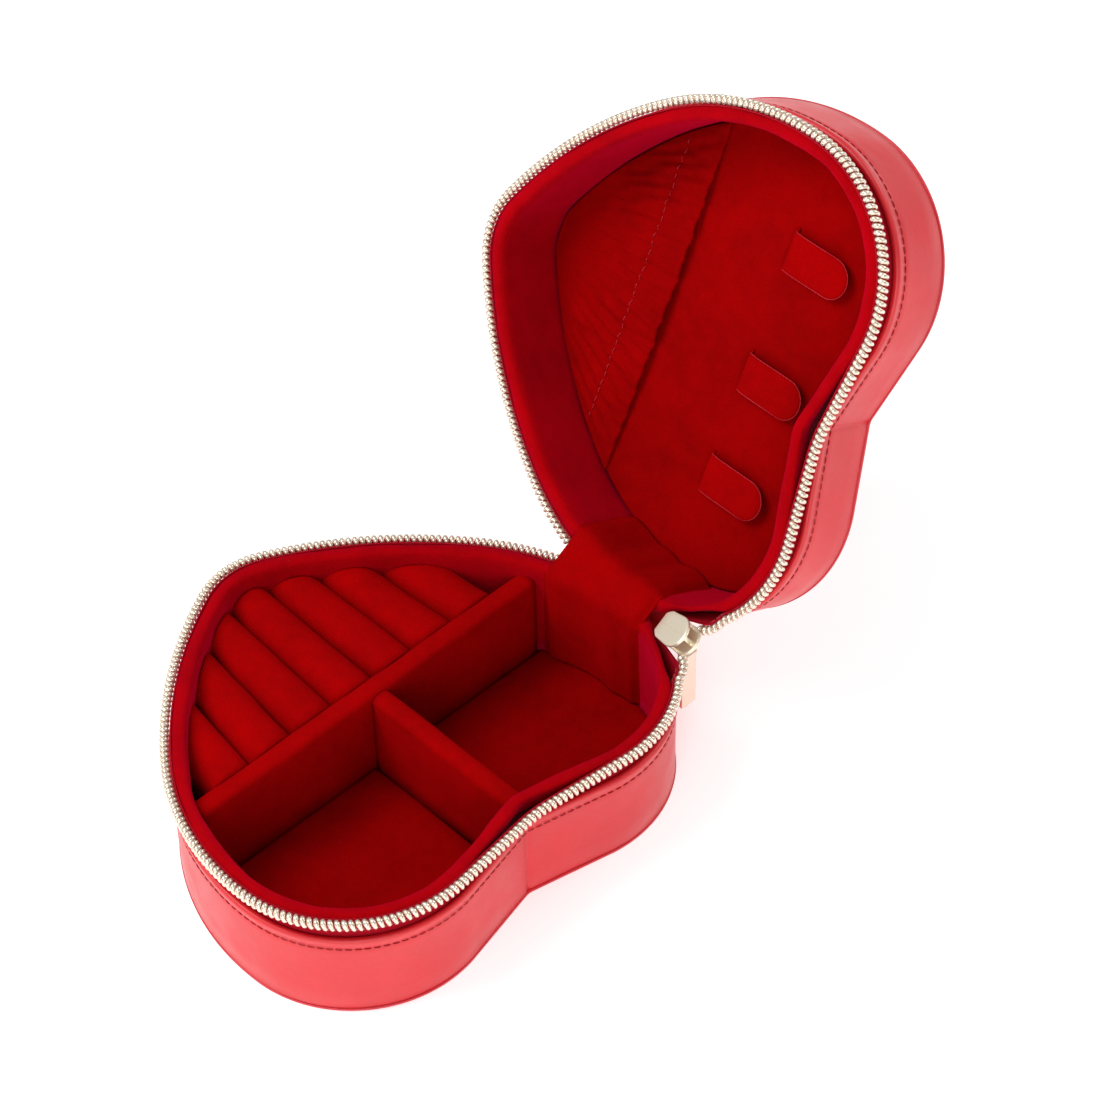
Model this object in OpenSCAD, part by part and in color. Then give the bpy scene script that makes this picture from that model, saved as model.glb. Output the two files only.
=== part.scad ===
// Heart-shaped zip-round jewellery case for rings, shown with its lid open.
// Row frame, millimetres: +Z up, origin at the middle of the bottom face.
// The heart's tip points to -X and its notch to +X. The lid is hinged at the
// back (+Y) about an axis along X, so the front is -Y.

/* [Heart outline] */
// centre of each rounded lobe, along X
lobe_x = 11.8; // [10:0.1:14]
// centre of each rounded lobe, away from the middle line
lobe_y = 27.9; // [25:0.1:31]
// radius of a lobe, measured to the middle of the zip teeth
lobe_r = 32.2; // [29:0.1:34]
// radius of the long curve that follows each lobe
flank_r = 61.4; // [58:0.1:66]
// radius of the nearly flat curve beside the tip
side_r = 110.6; // [105:0.1:118]
// radius of the rounded tip
tip_r = 19.5; // [18:0.1:21]
// where the tip's centre sits along X
tip_x = -42.5; // [-44:0.1:-41]
// radius of the notch in the leather wall
wall_notch_r = 4.2; // [3:0.1:6]
// slope of the wall's straight run into the notch, in degrees
wall_notch_slope = 13; // [8:0.5:16]
// radius of the gentle dip that the zip makes at the notch
zip_notch_r = 35; // [25:1:45]
// slope of the zip's straight run into that dip, in degrees
zip_notch_slope = 6.5; // [5:0.5:8]

/* [Case] */
// height of the base, from the table to the parting plane
base_h = 31.8; // [28:0.1:38]
// height of the lid, from the parting plane to its top
lid_h = 25.5; // [23:0.1:30]
// angle the lid stands open, in degrees, where the inner fold is taut
lid_open = 117; // [90:1:120]
// distance of the hinge line behind the middle
hinge_y = 58.5; // [57:0.1:60]
// depth of both leather rims below the parting plane
rim_depth = 7.0; // [6:0.1:8]
// depth of the velvet wall's top below the parting plane
lining_depth = 0.9; // [0.7:0.1:1.6]

/* [Materials] */
// thickness of the outer leather
leather_t = 1.0; // [0.8:0.1:1.2]
// thickness of the stiffening board
board_t = 1.4; // [1:0.1:1.5]
// thickness of the padded velvet on the floor of the base
floor_pad_t = 1.7; // [1:0.1:3]
// thickness of the padded velvet panel in the lid
lid_pad_t = 2.9; // [2:0.1:4]

/* [Dividers and ring rolls] */
// thickness of a padded divider
divider_t = 5.3; // [4:0.1:6]
// where the long divider's middle sits along X
divider_x = -14.25; // [-16:0.05:-11]
// where the short divider's middle sits along Y
cross_y = 1.6; // [-2:0.1:3]
// height of the long divider's top above the table
divider_top = 27.4; // [20:0.1:28]
// height of the short divider's top above the table
cross_top = 26.9; // [20:0.1:28]
// number of soft rolls that grip the rings
roll_count = 7; // [7:1:7]
// distance from one roll to the next
roll_pitch = 12.3; // [12:0.05:12.6]
// where the middle roll sits along Y
roll_mid_y = -0.8; // [-1.5:0.1:1.5]
// height of the rolls' crests above the table
roll_top = 27.3; // [24:0.1:28]
// radius of a roll's crest
roll_r = 8; // [7:0.1:12]

/* [Lid fittings] */
// length of a necklace strap
strap_l = 17.6; // [14:0.1:20]
// width of a necklace strap
strap_w = 9.5; // [8:0.1:11]
// where the straps' roots sit along X
strap_x = 6.1; // [4:0.1:8]
// positions of the straps along Y
strap_y = [-27, 3.7, 30];
// where the pocket's mouth runs, along X
pocket_x = -20.5; // [-24:0.1:-18]
// width of the pocket's elastic hem
hem_w = 9.6; // [7:0.1:12]

/* [Zip] */
// height of one row of zip teeth
coil_h = 2.6; // [2.2:0.1:2.8]
// thickness of the zip teeth across the wall
coil_t = 2.2; // [1.8:0.1:2.4]
// thickness of the zip tape
tape_t = 0.6; // [0.5:0.05:0.7]
// length of the slider
slider_l = 10.4; // [9:0.1:11]
// width of the slider
slider_w = 7.8; // [7:0.1:8]
// turn of the slider about the upright axis, in degrees
slider_yaw = -24; // [-30:1:-18]
// length of the pull tab
pull_l = 16.5; // [12:0.1:19]
// width of the pull tab
pull_w = 4.6; // [4:0.1:5]

/* [Hidden] */

// offsets from the zip's centre line, outwards positive
leather_d = -0.8;
rim_d = -0.2;
tape_d = leather_d - leather_t - 0.05;
board_d = tape_d - tape_t - 0.05;
lining_d = board_d - board_t - 0.1;
inner_d = -4.9;
floor_d = inner_d - 0.05;
part_gap = 0.15;

floor_z = leather_t + board_t + floor_pad_t + 0.4;
floor_board_z = leather_t + 0.1;
floor_pad_z = floor_board_z + board_t + 0.1;
lid_panel_depth = lid_h - leather_t - board_t - lid_pad_t - 0.2;

lobe_join = 86;
flank_c = [lobe_x - (flank_r - lobe_r) * cos(lobe_join), lobe_y - (flank_r - lobe_r) * sin(lobe_join)];
tip_c = [tip_x, 0];

// centre of the nearly flat curve: where two circles about the flank's and tip's centres cross
gap_v = tip_c - flank_c;
gap_l = norm(gap_v);
reach_f = side_r - flank_r;
reach_t = side_r - tip_r;
along = (reach_f * reach_f - reach_t * reach_t + gap_l * gap_l) / (2 * gap_l);
aside = sqrt(reach_f * reach_f - along * along);
side_c = flank_c + gap_v * along / gap_l + [-gap_v[1], gap_v[0]] * aside / gap_l;
flank_join = atan2(flank_c[1] - side_c[1], flank_c[0] - side_c[0]);
side_join = atan2(tip_c[1] - side_c[1], tip_c[0] - side_c[0]);

// the zip runs open from the flank, round the tip and notch, to the slider
zip_start_a = 107.8;
zip_end_a = 48;

function arc(c, r, a0, a1, n) =
  [for (i = [0:n - 1]) let (a = a0 + (a1 - a0) * i / n) c + r * [cos(a), sin(a)]];
function notch_c(slope, r) =
  [(r + lobe_r + lobe_x * cos(slope) - lobe_y * sin(slope)) / cos(slope), 0];
function flip(pts) = [for (i = [len(pts) - 1:-1:0]) [pts[i][0], -pts[i][1]]];
function flank_arc(d, a0, a1, n) = arc(flank_c, flank_r + d, a0, a1, n);
function lobe_arc(d, a0, a1, n) = arc([lobe_x, lobe_y], lobe_r + d, a0, a1, n);

// half outline from the notch to the tip, as a left-hand walk, at offset d
function notch_half(d, slope, r) =
  concat(arc(notch_c(slope, r), r - d, 180, 180 - slope, 4), arc(notch_c(slope, r), r - d, 180 - slope, 180, 1));
function outer_half(d, a0) =
  concat(flank_arc(d, a0, flank_join, 9), arc(side_c, side_r + d, flank_join, side_join, 8),
         arc(tip_c, tip_r + d, side_join, 180, 6));
function heart(d, slope, r) =
  let (up = concat(notch_half(d, slope, r), lobe_arc(d, -slope, lobe_join, 20), outer_half(d, lobe_join)))
  concat(up, [tip_c - [tip_r + d, 0]], flip([for (i = [1:len(up) - 1]) up[i]]));
// the part of the outline that carries the zip
function zip_walk(d, slope, r) =
  let (left = outer_half(d, zip_start_a),
       low = concat(notch_half(d, slope, r), lobe_arc(d, -slope, lobe_join, 20), outer_half(d, lobe_join)),
       up = concat(notch_half(d, slope, r), lobe_arc(d, -slope, zip_end_a, 14)))
  concat(left, [tip_c - [tip_r + d, 0]], flip([for (i = [1:len(low) - 1]) low[i]]), up,
         [[lobe_x, lobe_y] + (lobe_r + d) * [cos(zip_end_a), sin(zip_end_a)]]);
function wall(d) = heart(d, wall_notch_slope, wall_notch_r);
function wall_zip_walk(d) = zip_walk(d, wall_notch_slope, wall_notch_r);
function track_zip_walk(d) = zip_walk(d, zip_notch_slope, zip_notch_r);
// the part of the outline at the hinge, from the tip's side to the slider's side
function hinge_walk(d, a0, a1) =
  concat(flank_arc(d, a0, lobe_join, 8), lobe_arc(d, lobe_join, a1, 6),
         [[lobe_x, lobe_y] + (lobe_r + d) * [cos(a1), sin(a1)]]);

// Halves are drawn with their depth from the parting plane along +Z.
module base_half() {
  translate([0, 0, base_h])
    mirror([0, 0, 1])
      children();
}
module lid_half() {
  translate([0, hinge_y, base_h])
    rotate([-lid_open, 0, 0])
      translate([0, -hinge_y, 0])
        children();
}
module plate(d, z0, z1) {
  translate([0, 0, z0])
    linear_extrude(height = z1 - z0)
      polygon(wall(d));
}
module ring(d_out, d_in, z0, z1) {
  translate([0, 0, z0])
    linear_extrude(height = z1 - z0)
      difference() {
        polygon(wall(d_out));
        polygon(wall(d_in));
      }
}

// Solid strip through matching sections. The first half of a section's points runs along one
// face of the sheet, and the second half runs back along the other.
function side_faces(n, m) =
  [for (i = [0:n - 2], j = [0:m - 1], k = [0, 1])
     let (a = i * m + j, b = i * m + (j + 1) % m)
     k == 0 ? [a, b, b + m] : [a, b + m, a + m]];
function cap_faces(base, m, turn) =
  [for (j = [0:m / 2 - 2], k = [0, 1])
     let (a = base + j, b = base + m - 1 - j, f = k == 0 ? [a, a + 1, b - 1] : [a, b - 1, b])
     turn ? [f[2], f[1], f[0]] : f];
module strip(sections) {
  n = len(sections);
  m = len(sections[0]);
  polyhedron(points = [for (s = sections, p = s) p],
             faces = concat(side_faces(n, m), cap_faces(0, m, true), cap_faces((n - 1) * m, m, false)),
             convexity = 8);
}

// ---------- both halves ----------
module leather_shell(h) {
  difference() {
    union() {
      plate(leather_d, rim_depth + 2.6, h - leather_t - 0.05);
      plate((leather_d + rim_d) / 2, rim_depth + 1.2, rim_depth + 2.6);
      plate(rim_d, rim_depth + 0.3, rim_depth + 1.2);
      plate(rim_d - 0.3, rim_depth, rim_depth + 0.3);
    }
    plate(leather_d - leather_t, rim_depth - 1, h);
  }
}
module outer_panel(h) {
  plate(leather_d + 0.1, h - leather_t, h);
}
module wall_board(h) {
  ring(board_d, board_d - board_t, rim_depth, h - leather_t - 0.1);
}
module flat_board(h) {
  plate(board_d - board_t - 0.05, h - leather_t - 0.1 - board_t, h - leather_t - 0.1);
}
module lining(h) {
  ring(lining_d, inner_d, lining_depth + 0.6, h - leather_t - board_t - 0.2);
  ring(lining_d - 0.15, inner_d + 0.15, lining_depth, lining_depth + 0.6);
}
tape_skirt = 9;
module zip_tape() {
  z_low = rim_depth - 0.1;
  z_mid = part_gap + coil_h + 0.6;
  deep_out = wall_zip_walk(tape_d);
  deep_in = wall_zip_walk(tape_d - tape_t);
  coil_out = track_zip_walk(-coil_t / 2 - 0.05);
  coil_in = track_zip_walk(-coil_t / 2 - 0.05 - tape_t);
  strip([for (i = [0:len(deep_out) - 1])
    [[deep_out[i][0], deep_out[i][1], z_low + tape_skirt],
     [deep_out[i][0], deep_out[i][1], z_low],
     [coil_out[i][0], coil_out[i][1], z_mid],
     [coil_out[i][0], coil_out[i][1], part_gap],
     [coil_in[i][0], coil_in[i][1], part_gap],
     [coil_in[i][0], coil_in[i][1], z_mid],
     [deep_in[i][0], deep_in[i][1], z_low],
     [deep_in[i][0], deep_in[i][1], z_low + tape_skirt]]]);
}
module coil_layer(half_t, z0, z1) {
  out = track_zip_walk(half_t);
  inn = track_zip_walk(-half_t);
  translate([0, 0, z0])
    linear_extrude(height = z1 - z0)
      polygon(concat(out, [for (i = [len(inn) - 1:-1:0]) inn[i]]));
}
module zip_coil() {
  edge = 0.6;
  coil_layer(coil_t / 2 - 0.4, part_gap, part_gap + edge);
  coil_layer(coil_t / 2, part_gap + edge, part_gap + coil_h - edge);
  coil_layer(coil_t / 2 - 0.4, part_gap + coil_h - edge, part_gap + coil_h);
}

// ---------- base ----------
module base_leather_wall() {
  color([0.82, 0.12, 0.17]) base_half() leather_shell(base_h);
}
module base_bottom_panel() {
  color([0.78, 0.10, 0.16]) base_half() outer_panel(base_h);
}
module base_wall_board() {
  color([0.55, 0.5, 0.42]) base_half() wall_board(base_h);
}
module base_bottom_board() {
  color([0.55, 0.5, 0.42]) base_half() flat_board(base_h);
}
module base_lining() {
  color([0.62, 0.0, 0.04]) base_half() lining(base_h);
}
// plan of the space inside the lining, cut to a rectangle
module inside(x0, x1, y0, y1) {
  intersection() {
    polygon(wall(floor_d));
    translate([x0, y0])
      square([x1 - x0, y1 - y0]);
  }
}
reach = 70;
div_lo = divider_x - divider_t / 2;
div_hi = divider_x + divider_t / 2;
cross_lo = cross_y - divider_t / 2;
cross_hi = cross_y + divider_t / 2;
module floor_pad(x0, x1, y0, y1) {
  color([0.45, 0.0, 0.02])
    translate([0, 0, floor_pad_z])
      linear_extrude(height = floor_pad_t)
        inside(x0, x1, y0, y1);
}
module base_floor_pad_front() {
  floor_pad(div_hi + 0.05, reach, -reach, cross_lo - 0.05);
}
module base_floor_pad_back() {
  floor_pad(div_hi + 0.05, reach, cross_hi + 0.05, reach);
}
module base_floor_pad_tip() {
  floor_pad(-reach, div_lo - 0.05, -reach, reach);
}
// a padded board on edge: square sides and a rounded top
module padded_edge(l, top) {
  side_h = top - floor_pad_z - 0.05;
  crown = divider_t * 0.3;
  translate([-divider_t / 2, -l, floor_pad_z + 0.05])
    cube([divider_t, 2 * l, side_h - crown]);
  intersection() {
    translate([-divider_t / 2, -l, floor_pad_z + 0.05])
      cube([divider_t, 2 * l, side_h]);
    translate([0, l, top - divider_t * 0.62])
      rotate([90, 0, 0])
        cylinder(h = 2 * l, r = divider_t * 0.62, $fn = 96);
  }
}
module main_divider() {
  color([0.66, 0.0, 0.04])
    intersection() {
      translate([divider_x, 0, 0])
        padded_edge(reach, divider_top);
      plate(floor_d, 0, base_h);
    }
}
module cross_divider() {
  color([0.66, 0.0, 0.04])
    intersection() {
      translate([div_hi + 0.05 + reach, cross_y, 0])
        rotate([0, 0, 90])
          padded_edge(reach, cross_top);
      plate(floor_d, 0, base_h);
    }
}
roll_z = 13;
module ring_roll_bed() {
  color([0.4, 0.02, 0.03])
    translate([0, 0, floor_pad_z + floor_pad_t + 0.05])
      linear_extrude(height = roll_z - floor_pad_z - floor_pad_t - 0.1)
        inside(-reach, div_lo - 0.05, -reach, reach);
}
// one soft roll along X: flat sides that touch its neighbours and a domed crest
module ring_roll(k) {
  y = roll_mid_y + (k - (roll_count + 1) / 2) * roll_pitch;
  half = roll_pitch / 2 - 0.03;
  color([0.68, 0.0, 0.05])
    intersection() {
      translate([div_lo - 0.1 - reach, y - half, roll_z])
        cube([reach, 2 * half, roll_top - roll_z]);
      translate([div_lo - 0.1 - reach, y, roll_top - roll_r])
        rotate([0, 90, 0])
          union() {
            cylinder(h = reach, r = roll_r, $fn = 120);
            translate([0, -half, 0])
              cube([roll_r + roll_top, 2 * half, reach]);
          }
      translate([0, 0, roll_z])
        linear_extrude(height = roll_top)
          inside(-reach, div_lo - 0.1, -reach, reach);
    }
}
module ring_roll_1() {
  ring_roll(1);
}
module ring_roll_2() {
  ring_roll(2);
}
module ring_roll_3() {
  ring_roll(3);
}
module ring_roll_4() {
  ring_roll(4);
}
module ring_roll_5() {
  ring_roll(5);
}
module ring_roll_6() {
  ring_roll(6);
}
module ring_roll_7() {
  ring_roll(7);
}
module base_zip_tape() {
  color([0.7, 0.05, 0.12]) base_half() zip_tape();
}
module base_zip_coil() {
  color([0.85, 0.8, 0.68]) base_half() zip_coil();
}

// ---------- hinge ----------
// a closed-case point (y, depth above the parting plane) carried round with the lid
function opened(y, z) =
  let (a = -lid_open) [hinge_y + (y - hinge_y) * cos(a) - z * sin(a), base_h + (y - hinge_y) * sin(a) + z * cos(a)];
function bezier(p0, c0, c1, p1, t) =
  pow(1 - t, 3) * p0 + 3 * t * pow(1 - t, 2) * c0 + 3 * t * t * (1 - t) * c1 + pow(t, 3) * p1;
function unit(v) = v / norm(v);
// leather strip that joins the two rims and folds outwards while the lid is open
spine_steps = 14;
spine_reach = 9.5;
function spine_curve(y, t) =
  let (rise = rim_depth - 0.1 - leather_t / 2,
       p0 = [y, base_h - rise], p1 = opened(y, rise),
       q = opened(y + spine_reach, rise))
  bezier(p0, p0 + [spine_reach, 0], q, p1, t);
function spine_side(y, t, s) =
  let (e = 0.01, v = unit(spine_curve(y, min(1, t + e)) - spine_curve(y, max(0, t - e))))
  spine_curve(y, t) + s * [-v[1], v[0]];
module hinge_spine() {
  walk = hinge_walk(leather_d - leather_t, 106.6, 74);
  color([0.8, 0.12, 0.17])
    strip([for (p = walk)
      concat([for (i = [0:spine_steps]) let (q = spine_side(p[1], i / spine_steps, leather_t / 2)) [p[0], q[0], q[1]]],
             [for (i = [spine_steps:-1:0]) let (q = spine_side(p[1], i / spine_steps, -leather_t / 2)) [p[0], q[0], q[1]]])]);
}
// velvet sheet from the floor of the base, over the hinge, to the panel of the lid
gusset_t = 0.8;
gusset_steps = 10;
gusset_rise = 0.1;
gusset_d = -6.05;
gusset_lip = 0.35;
function gusset_bridge(y, lift, t) =
  let (p0 = [y, base_h - lining_depth + gusset_lip], p1 = opened(y, lining_depth - gusset_lip),
       v = unit(p1 - p0))
  p0 + (p1 - p0) * t + [-v[1], v[0]] * lift * 4 * t * (1 - t);
module hinge_gusset() {
  inner = hinge_walk(gusset_d - gusset_t, 111, 77);
  outer = hinge_walk(gusset_d, 111, 77);
  low = floor_z + 0.1;
  deep = lid_panel_depth - 0.1;
  color([0.64, 0.0, 0.04])
    strip([for (k = [0:len(inner) - 1])
      let (yi = inner[k][1], yo = outer[k][1], xi = inner[k][0], xo = outer[k][0],
           li = opened(yi, deep), lo = opened(yo, deep))
      concat([[xi, yi, low]],
             [for (i = [0:gusset_steps]) let (q = gusset_bridge(yi, gusset_rise, i / gusset_steps)) [xi, q[0], q[1]]],
             [[xi, li[0], li[1]], [xo, lo[0], lo[1]]],
             [for (i = [gusset_steps:-1:0]) let (q = gusset_bridge(yo, gusset_rise - 0.45, i / gusset_steps)) [xo, q[0], q[1]]],
             [[xo, yo, low]])]);
}

// ---------- lid ----------
module lid_leather_wall() {
  color([0.82, 0.12, 0.17]) lid_half() leather_shell(lid_h);
}
module lid_top_panel() {
  color([0.78, 0.10, 0.16]) lid_half() outer_panel(lid_h);
}
module lid_wall_board() {
  color([0.55, 0.5, 0.42]) lid_half() wall_board(lid_h);
}
module lid_top_board() {
  color([0.55, 0.5, 0.42]) lid_half() flat_board(lid_h);
}
module lid_lining() {
  color([0.62, 0.0, 0.04]) lid_half() lining(lid_h);
}
module lid_panel_pad() {
  color([0.6, 0.0, 0.04])
    lid_half()
      plate(floor_d, lid_panel_depth, lid_panel_depth + lid_pad_t);
}
// gathered pocket: a shallow shell that lies on the panel and lifts towards its mouth
pocket_t = 0.9;
pocket_lift = 2.2;
pocket_rows = 8;
pocket_cols = 16;
pocket_tip = tip_x - (tip_r + floor_d) + 1.5;
function pocket_half(x) =
  let (s = side_r + floor_d - 0.6, t = tip_r + floor_d - 0.6,
       f = flank_r + floor_d - 0.6)
  x > flank_c[0] + f * cos(flank_join) ? flank_c[1] + sqrt(f * f - pow(x - flank_c[0], 2))
  : x > tip_c[0] + t * cos(side_join) ? side_c[1] + sqrt(s * s - pow(x - side_c[0], 2))
  : sqrt(max(0.5, t * t - pow(x - tip_c[0], 2)));
function pocket_gap(i, j) =
  0.05 + pocket_lift * sin(90 * i / pocket_rows) * pow(cos(90 * (2 * j / pocket_cols - 1)), 0.6);
function pocket_point(i, j, rise, x1) =
  let (x = pocket_tip + (x1 - pocket_tip) * i / pocket_rows)
  [x, pocket_half(x) * (2 * j / pocket_cols - 1), lid_panel_depth - pocket_gap(i, j) - rise];
module lid_pocket() {
  edge = pocket_x - 1.2;
  color([0.6, 0.0, 0.04])
    lid_half()
      strip([for (i = [0:pocket_rows])
        concat([for (j = [0:pocket_cols]) pocket_point(i, j, 0, edge)],
               [for (j = [pocket_cols:-1:0]) pocket_point(i, j, pocket_t, edge)])]);
}
// elastic band inside the pocket's rolled mouth
module pocket_elastic() {
  rows = pocket_rows;
  color([0.62, 0.0, 0.05])
    lid_half()
      strip([for (i = [0:1])
        concat([for (j = [0:pocket_cols])
                  let (q = pocket_point(rows, j, -0.02, pocket_x)) [pocket_x - 1.15 * (1 - i), q[1], q[2]]],
               [for (j = [pocket_cols:-1:0])
                  let (q = pocket_point(rows, j, pocket_t + 0.35, pocket_x)) [pocket_x - 1.15 * (1 - i), q[1], q[2]]])]);
}

// necklace straps: each swings on its root and snaps to a stud under its round end
strap_t = 1.1;
strap_depth = lid_panel_depth - 2.1;
snap_back = strap_w / 2;
module strap(k) {
  nose = strap_w / 2;
  color([0.66, 0.0, 0.04])
    lid_half()
      translate([strap_x, strap_y[k], strap_depth])
        difference() {
          union() {
            translate([0, -nose, -strap_t / 2])
              cube([strap_l - nose, strap_w, strap_t]);
            translate([strap_l - nose, 0, -strap_t / 2])
              cylinder(h = strap_t, r = nose, $fn = 96);
            translate([0, nose, 0])
              rotate([90, 0, 0])
                cylinder(h = strap_w, r = strap_t / 2 + 0.25, $fn = 60);
          }
          translate([strap_l - snap_back, 0, -strap_t])
            cylinder(h = 2 * strap_t, r = 2.05, $fn = 60);
        }
}
module strap_1() {
  strap(0);
}
module strap_2() {
  strap(1);
}
module strap_3() {
  strap(2);
}
// snap socket riveted through the strap, open towards the panel
module snap_cap(k) {
  color([0.78, 0.66, 0.4])
    lid_half()
      translate([strap_x + strap_l - snap_back, strap_y[k], strap_depth])
        difference() {
          union() {
            translate([0, 0, strap_t / 2 + 0.02])
              cylinder(h = 0.45, r = 3.2, $fn = 72);
            translate([0, 0, -strap_t / 2 + 0.1])
              cylinder(h = strap_t + 0.3, r = 2, $fn = 60);
          }
          translate([0, 0, -0.1])
            cylinder(h = 3, r = 1.45, $fn = 60);
        }
}
module snap_cap_1() {
  snap_cap(0);
}
module snap_cap_2() {
  snap_cap(1);
}
module snap_cap_3() {
  snap_cap(2);
}
// matching stud on the lid's panel
module snap_stud(k) {
  color([0.78, 0.66, 0.4])
    lid_half()
      translate([strap_x + strap_l - snap_back, strap_y[k], lid_panel_depth]) {
        translate([0, 0, -0.5])
          cylinder(h = 0.5, r = 3.2, $fn = 72);
        translate([0, 0, -1.9])
          cylinder(h = 1.5, r = 1.2, $fn = 60);
      }
}
module snap_stud_1() {
  snap_stud(0);
}
module snap_stud_2() {
  snap_stud(1);
}
module snap_stud_3() {
  snap_stud(2);
}
module lid_zip_tape() {
  color([0.7, 0.05, 0.12]) lid_half() zip_tape();
}
module lid_zip_coil() {
  color([0.85, 0.8, 0.68]) lid_half() zip_coil();
}

// ---------- zip slider and pull ----------
// The slider is drawn along +X (its nose), with its pull side towards +Y.
slider_c = [28, 56.1];
inner_face = -(coil_t / 2 + tape_t + 0.25);
outer_face = coil_t / 2 + 0.2;
plate_t = 0.85;
bail_gap = 2.05;
bail_t = 0.8;
module slider_frame() {
  translate([0, hinge_y, base_h])
    rotate([-lid_open / 2, 0, 0])
      translate([slider_c[0], slider_c[1] - hinge_y, 0])
        rotate([0, 0, slider_yaw])
          children();
}
// shield-shaped plate: a narrow square tail and a wide round nose
module shield(w, t, y0) {
  tail_w = w * 0.62;
  nose_r = w / 2;
  nose_x = slider_l / 2 - nose_r;
  translate([0, y0 + t, 0])
    rotate([90, 0, 0])
      linear_extrude(height = t)
        union() {
          translate([nose_x, 0])
            circle(r = nose_r, $fn = 96);
          polygon([[-slider_l / 2, -tail_w / 2], [-slider_l / 2 + 1.6, -w / 2 + 0.35],
                   [nose_x, -w / 2 + 0.02], [nose_x, w / 2 - 0.02],
                   [-slider_l / 2 + 1.6, w / 2 - 0.35], [-slider_l / 2, tail_w / 2]]);
        }
}
module zip_slider() {
  flange_w = 0.7;
  color([0.86, 0.75, 0.55])
    slider_frame() {
      shield(slider_w, plate_t, inner_face - plate_t);
      shield(slider_w - 0.4, plate_t, outer_face);
      // post that parts the two rows of teeth
      translate([1.2, inner_face - 0.1, -0.6])
        cube([2.2, outer_face - inner_face + 0.2, 1.2]);
      // guides along the tail, turned in towards the tape
      for (s = [-1, 1])
        translate([-slider_l / 2 + 1.7, outer_face - 1.6, s > 0 ? slider_w / 2 - 0.35 - flange_w : -slider_w / 2 + 0.35])
          cube([4.4, 1.7, flange_w]);
      // bail that carries the link
      translate([-3.4, outer_face + plate_t - 0.1, -0.5])
        cube([0.9, bail_gap + bail_t + 0.1, 1]);
      translate([1.5, outer_face + plate_t - 0.1, -0.5])
        cube([0.9, bail_gap + bail_t + 0.1, 1]);
      translate([-3.4, outer_face + plate_t + bail_gap, -0.5])
        cube([5.8, bail_t, 1]);
    }
}
// The link hangs straight down from the bail, its plane across X.
link_r = 2.7;
link_wire = 0.45;
link_drop = 2.6;
link_pos = [-1.95, outer_face + plate_t + link_r + link_wire + 0.15, -0.85];
function slider_point(v) =
  let (c = cos(slider_yaw), s = sin(slider_yaw), a = -lid_open / 2,
       x = slider_c[0] + v[0] * c - v[1] * s, y = slider_c[1] - hinge_y + v[0] * s + v[1] * c)
  [x, hinge_y + y * cos(a) - v[2] * sin(a), base_h + y * sin(a) + v[2] * cos(a)];
link_c = slider_point(link_pos);
module link_frame() {
  translate(link_c)
    rotate([90, 0, 90])
      children();
}
module pull_link() {
  color([0.88, 0.76, 0.52])
    link_frame() {
      rotate_extrude(angle = 180, $fn = 96)
        translate([link_r, 0])
          circle(r = link_wire, $fn = 32);
      for (s = [-1, 1])
        translate([s * link_r, 0, 0])
          rotate([90, 0, 0])
            cylinder(h = link_drop, r = link_wire, $fn = 32);
      translate([-link_r, -link_drop, 0])
        rotate([0, 90, 0])
          cylinder(h = 2 * link_r, r = link_wire, $fn = 32);
      for (s = [-1, 1])
        translate([s * link_r, -link_drop, 0])
          sphere(r = link_wire, $fn = 32);
    }
}
pull_t = 1.0;
pull_pin = [link_c[0], link_c[1], link_c[2] - link_drop];
eye_gap = 0.12;
module pull_tab() {
  eye_r = link_wire + eye_gap + 0.5;
  eye_w = pull_w - 0.4;
  color([0.8, 0.62, 0.5])
    translate(pull_pin)
      difference() {
        union() {
          translate([0, eye_w / 2, 0])
            rotate([90, 0, 0])
              cylinder(h = eye_w, r = eye_r, $fn = 60);
          translate([-pull_t / 2, -eye_w / 2, -eye_r - 0.6])
            cube([pull_t, eye_w, eye_r + 0.6]);
          translate([-pull_t / 2, -pull_w / 2, -pull_l])
            cube([pull_t, pull_w, pull_l - eye_r - 0.3]);
        }
        translate([0, pull_w, 0])
          rotate([90, 0, 0])
            cylinder(h = 2 * pull_w, r = link_wire + eye_gap, $fn = 60);
      }
}

base_leather_wall();
base_bottom_panel();
base_wall_board();
base_bottom_board();
base_lining();
base_floor_pad_front();
base_floor_pad_back();
base_floor_pad_tip();
ring_roll_bed();
ring_roll_1();
ring_roll_2();
ring_roll_3();
ring_roll_4();
ring_roll_5();
ring_roll_6();
ring_roll_7();
main_divider();
cross_divider();
base_zip_tape();
base_zip_coil();
hinge_spine();
hinge_gusset();
lid_leather_wall();
lid_top_panel();
lid_wall_board();
lid_top_board();
lid_lining();
lid_panel_pad();
lid_pocket();
pocket_elastic();
snap_stud_1();
snap_stud_2();
snap_stud_3();
lid_zip_tape();
lid_zip_coil();
strap_1();
strap_2();
strap_3();
snap_cap_1();
snap_cap_2();
snap_cap_3();
zip_slider();
pull_link();
pull_tab();
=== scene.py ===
import math

import bmesh
import bpy
import numpy as np
from mathutils import Matrix, Vector, noise


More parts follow.
